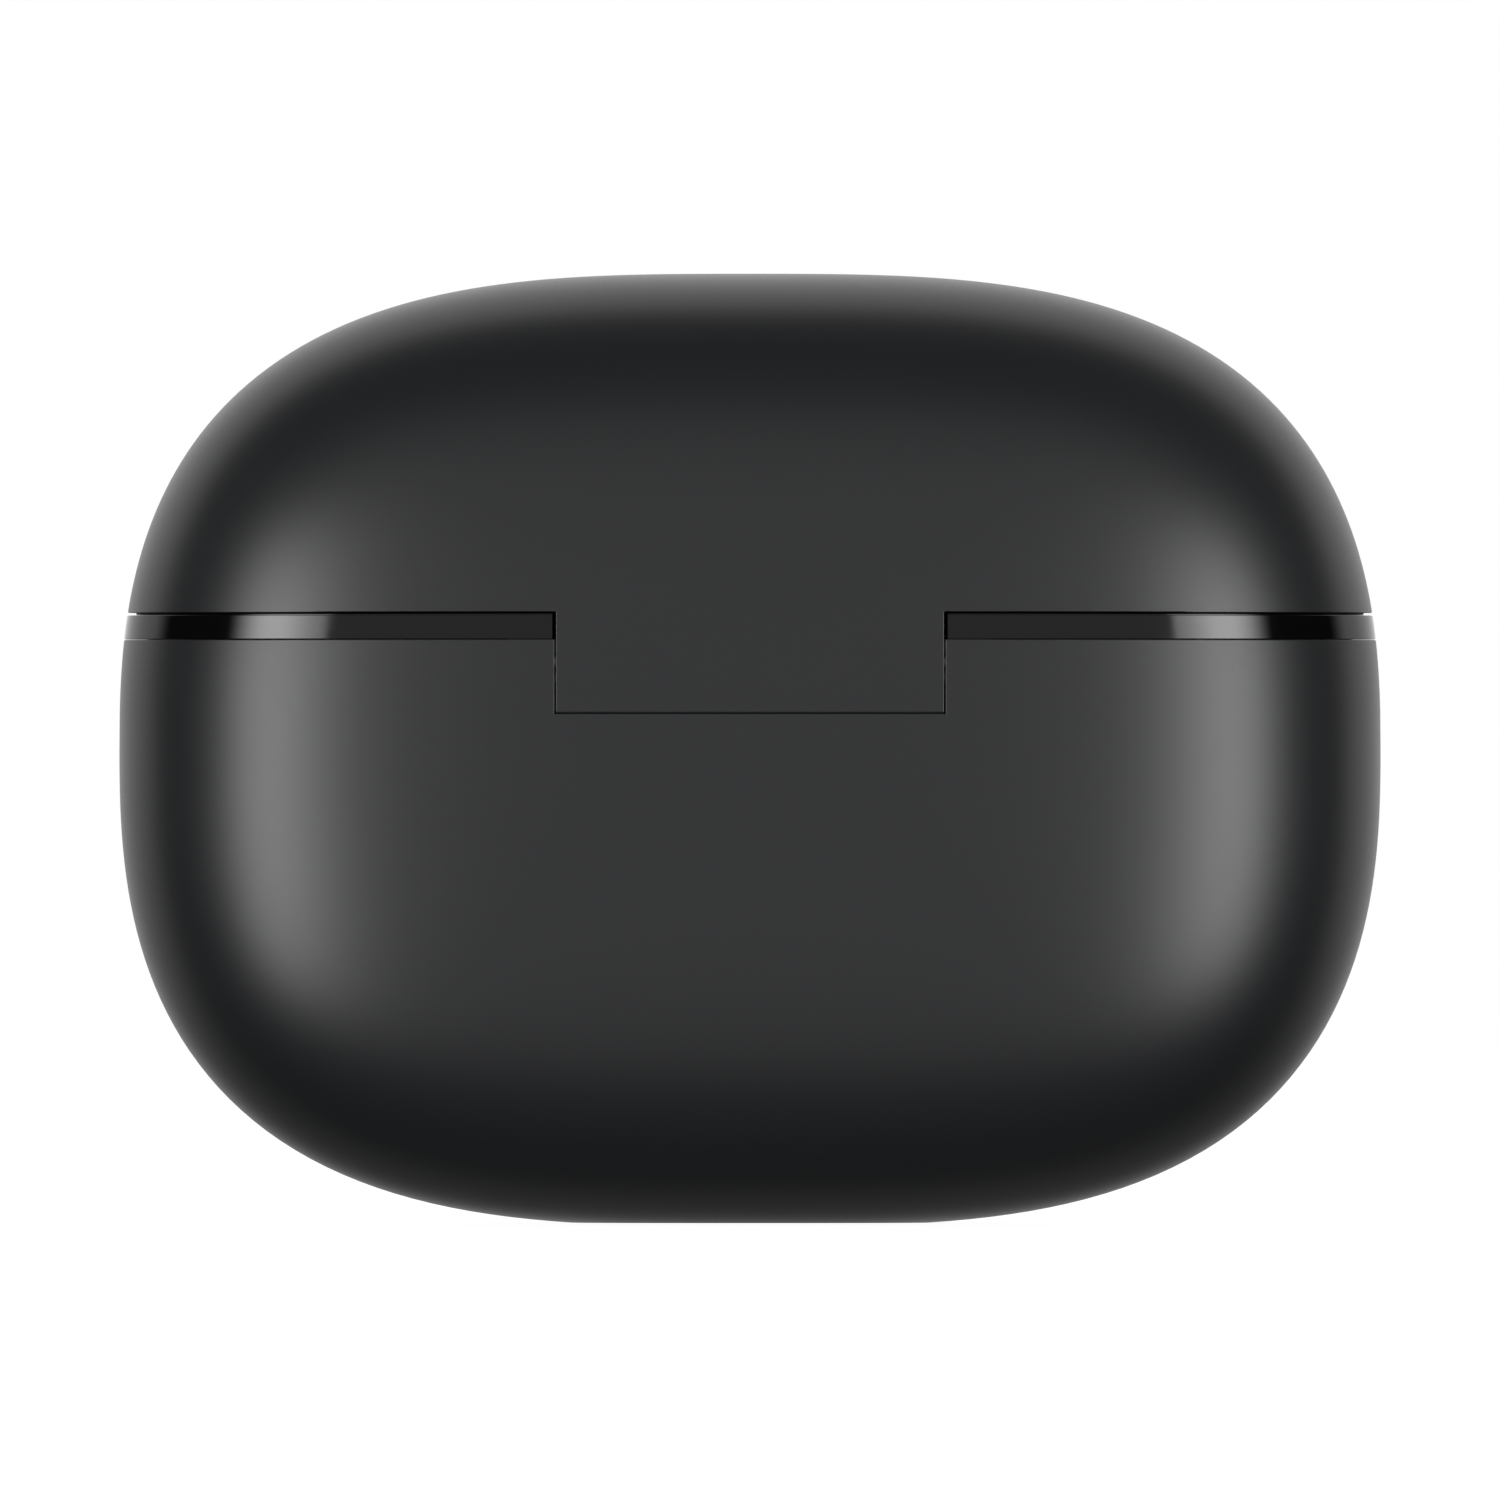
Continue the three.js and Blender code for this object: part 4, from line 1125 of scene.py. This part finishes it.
class Sky:
    """The studio: soft boxes and dark flags as a smooth function of direction."""

    def __init__(self):
        world = bpy.data.worlds.new("studio")
        world.use_nodes = True
        bpy.context.scene.world = world
        self.tree = world.node_tree
        self.tree.nodes.clear()
        place = self.tree.nodes.new("ShaderNodeTexCoord").outputs["Generated"]
        parts = self.tree.nodes.new("ShaderNodeSeparateXYZ")
        self.tree.links.new(place, parts.inputs[0])
        self.x, self.y, self.z = parts.outputs

    def math(self, operation, a, b=0.0):
        node = self.tree.nodes.new("ShaderNodeMath")
        node.operation = operation
        for socket, value in zip(node.inputs, (a, b)):
            if isinstance(value, bpy.types.NodeSocket):
                self.tree.links.new(value, socket)
            else:
                socket.default_value = value
        return node.outputs[0]

    def ramp(self, value, low, high, soft=True):
        node = self.tree.nodes.new("ShaderNodeMapRange")
        node.interpolation_type = "SMOOTHSTEP" if soft else "LINEAR"
        self.tree.links.new(value, node.inputs["Value"])
        node.inputs["From Min"].default_value = low
        node.inputs["From Max"].default_value = high
        return node.outputs["Result"]

    def between(self, share, low, high):
        """low where share is 0, high where it is 1."""
        return self.math("ADD", self.math("MULTIPLY", share, high - low), low)


# Angles in degrees: turn is round the vertical from the camera's side, rise is above level,
# and away is from the line to the camera. Each pair goes from dark to lit.
FRONT_GLOW = 0.53
FRONT_TURN = (48, 28)
FRONT_LOW = (-43, -38)
FRONT_HIGH = (50, 43)
BOX_GLOW = 10.9
BOX_INNER = (29.5, 31.5)
BOX_BRIGHTENS = (30, 42)
BOX_INNER_SHARE = 0.36
BOX_OUTER = (59, 44)
BOX_LOW = (-32, -19)
BOX_HIGH = (26, 11)
BOX_CLIMB = (-26, 18)
BOX_FOOT_SHARE = 0.65
BACK_GLOW = 1.1
BACK_AWAY = (94, 112)
BACK_CLIMB = (-45, 25)
BACK_FOOT_SHARE = 0.17
DARK_GLOW = 0.01


def studio():
    """Two tall soft boxes beside the camera, a weak glow in front and a white surround behind the object."""
    s = Sky()
    degrees = 180 / math.pi
    turn = s.math("MULTIPLY", s.math("ARCTAN2", s.math("ABSOLUTE", s.x), s.y), degrees)
    rise = s.math("MULTIPLY", s.math("ARCSINE", s.z), degrees)
    away = s.math("MULTIPLY", s.math("ARCCOSINE", s.y), degrees)
    brightens = s.between(s.ramp(turn, *BOX_BRIGHTENS), BOX_INNER_SHARE, 1.0)
    inner = s.math("MULTIPLY", s.ramp(turn, *BOX_INNER), brightens)
    across = s.math("MULTIPLY", inner, s.ramp(turn, *BOX_OUTER))
    upright = s.math("MULTIPLY", s.ramp(rise, *BOX_LOW), s.ramp(rise, *BOX_HIGH))
    upright = s.math("MULTIPLY", upright, s.between(s.ramp(rise, *BOX_CLIMB, False), BOX_FOOT_SHARE, 1.0))
    total = s.math("MULTIPLY", s.math("MULTIPLY", across, upright), BOX_GLOW)
    tall = s.math("MULTIPLY", s.ramp(rise, *FRONT_LOW), s.ramp(rise, *FRONT_HIGH))
    front = s.math("MULTIPLY", s.ramp(turn, *FRONT_TURN), tall)
    total = s.math("ADD", total, s.math("MULTIPLY", front, FRONT_GLOW))
    climb = s.between(s.ramp(rise, *BACK_CLIMB), BACK_FOOT_SHARE, 1.0)
    behind = s.math("MULTIPLY", s.ramp(away, *BACK_AWAY), climb)
    total = s.math("ADD", total, s.math("MULTIPLY", behind, BACK_GLOW))
    total = s.math("ADD", total, DARK_GLOW)
    light = s.tree.nodes.new("ShaderNodeBackground")
    light.inputs["Color"].default_value = (1, 1, 1, 1)
    s.tree.links.new(total, light.inputs["Strength"])
    white = s.tree.nodes.new("ShaderNodeBackground")
    white.inputs["Color"].default_value = (1, 1, 1, 1)
    path = s.tree.nodes.new("ShaderNodeLightPath")
    mix = s.tree.nodes.new("ShaderNodeMixShader")
    s.tree.links.new(path.outputs["Is Camera Ray"], mix.inputs[0])
    s.tree.links.new(light.outputs[0], mix.inputs[1])
    s.tree.links.new(white.outputs[0], mix.inputs[2])
    out = s.tree.nodes.new("ShaderNodeOutputWorld")
    s.tree.links.new(mix.outputs[0], out.inputs[0])


LENS = 950
SENSOR = 36
WIDTH_SHARE = 1261 / 1500  # share of the frame that the body fills


def camera():
    data = bpy.data.cameras.new("camera")
    data.lens = LENS
    data.sensor_width = SENSOR
    view = (cad_hi.x - cad_lo.x) / WIDTH_SHARE
    distance = view * LENS / SENSOR
    data.clip_start = 0.05
    data.clip_end = distance * 4
    made = bpy.data.objects.new("camera", data)
    bpy.context.scene.collection.objects.link(made)
    made.location = (0, distance, CENTRE_Z * MM)
    made.rotation_euler = (math.pi / 2, 0, math.pi)
    bpy.context.scene.camera = made


floor()
studio()
camera()
bpy.context.scene.view_settings.view_transform = "Standard"

# ---- The CAD nodes inside keep their shape, with their own finish and softer edges ----
CAD_EDGE = 0.06
CAD_EDGE_ANGLE = 50
SLOT_OF = {part["node"]: part["material_slot"] for part in frame["record"]["subparts"]}
for name, node in frame["nodes"].items():
    finish = FINISH[SLOT_OF[name]]
    node.data.materials.clear()
    node.data.materials.append(finish)
    if node.hide_render:
        continue
    edge = node.modifiers.new("soft_edge", "BEVEL")
    edge.width = CAD_EDGE * MM
    edge.segments = 2
    edge.limit_method = "ANGLE"
    edge.angle_limit = math.radians(CAD_EDGE_ANGLE)
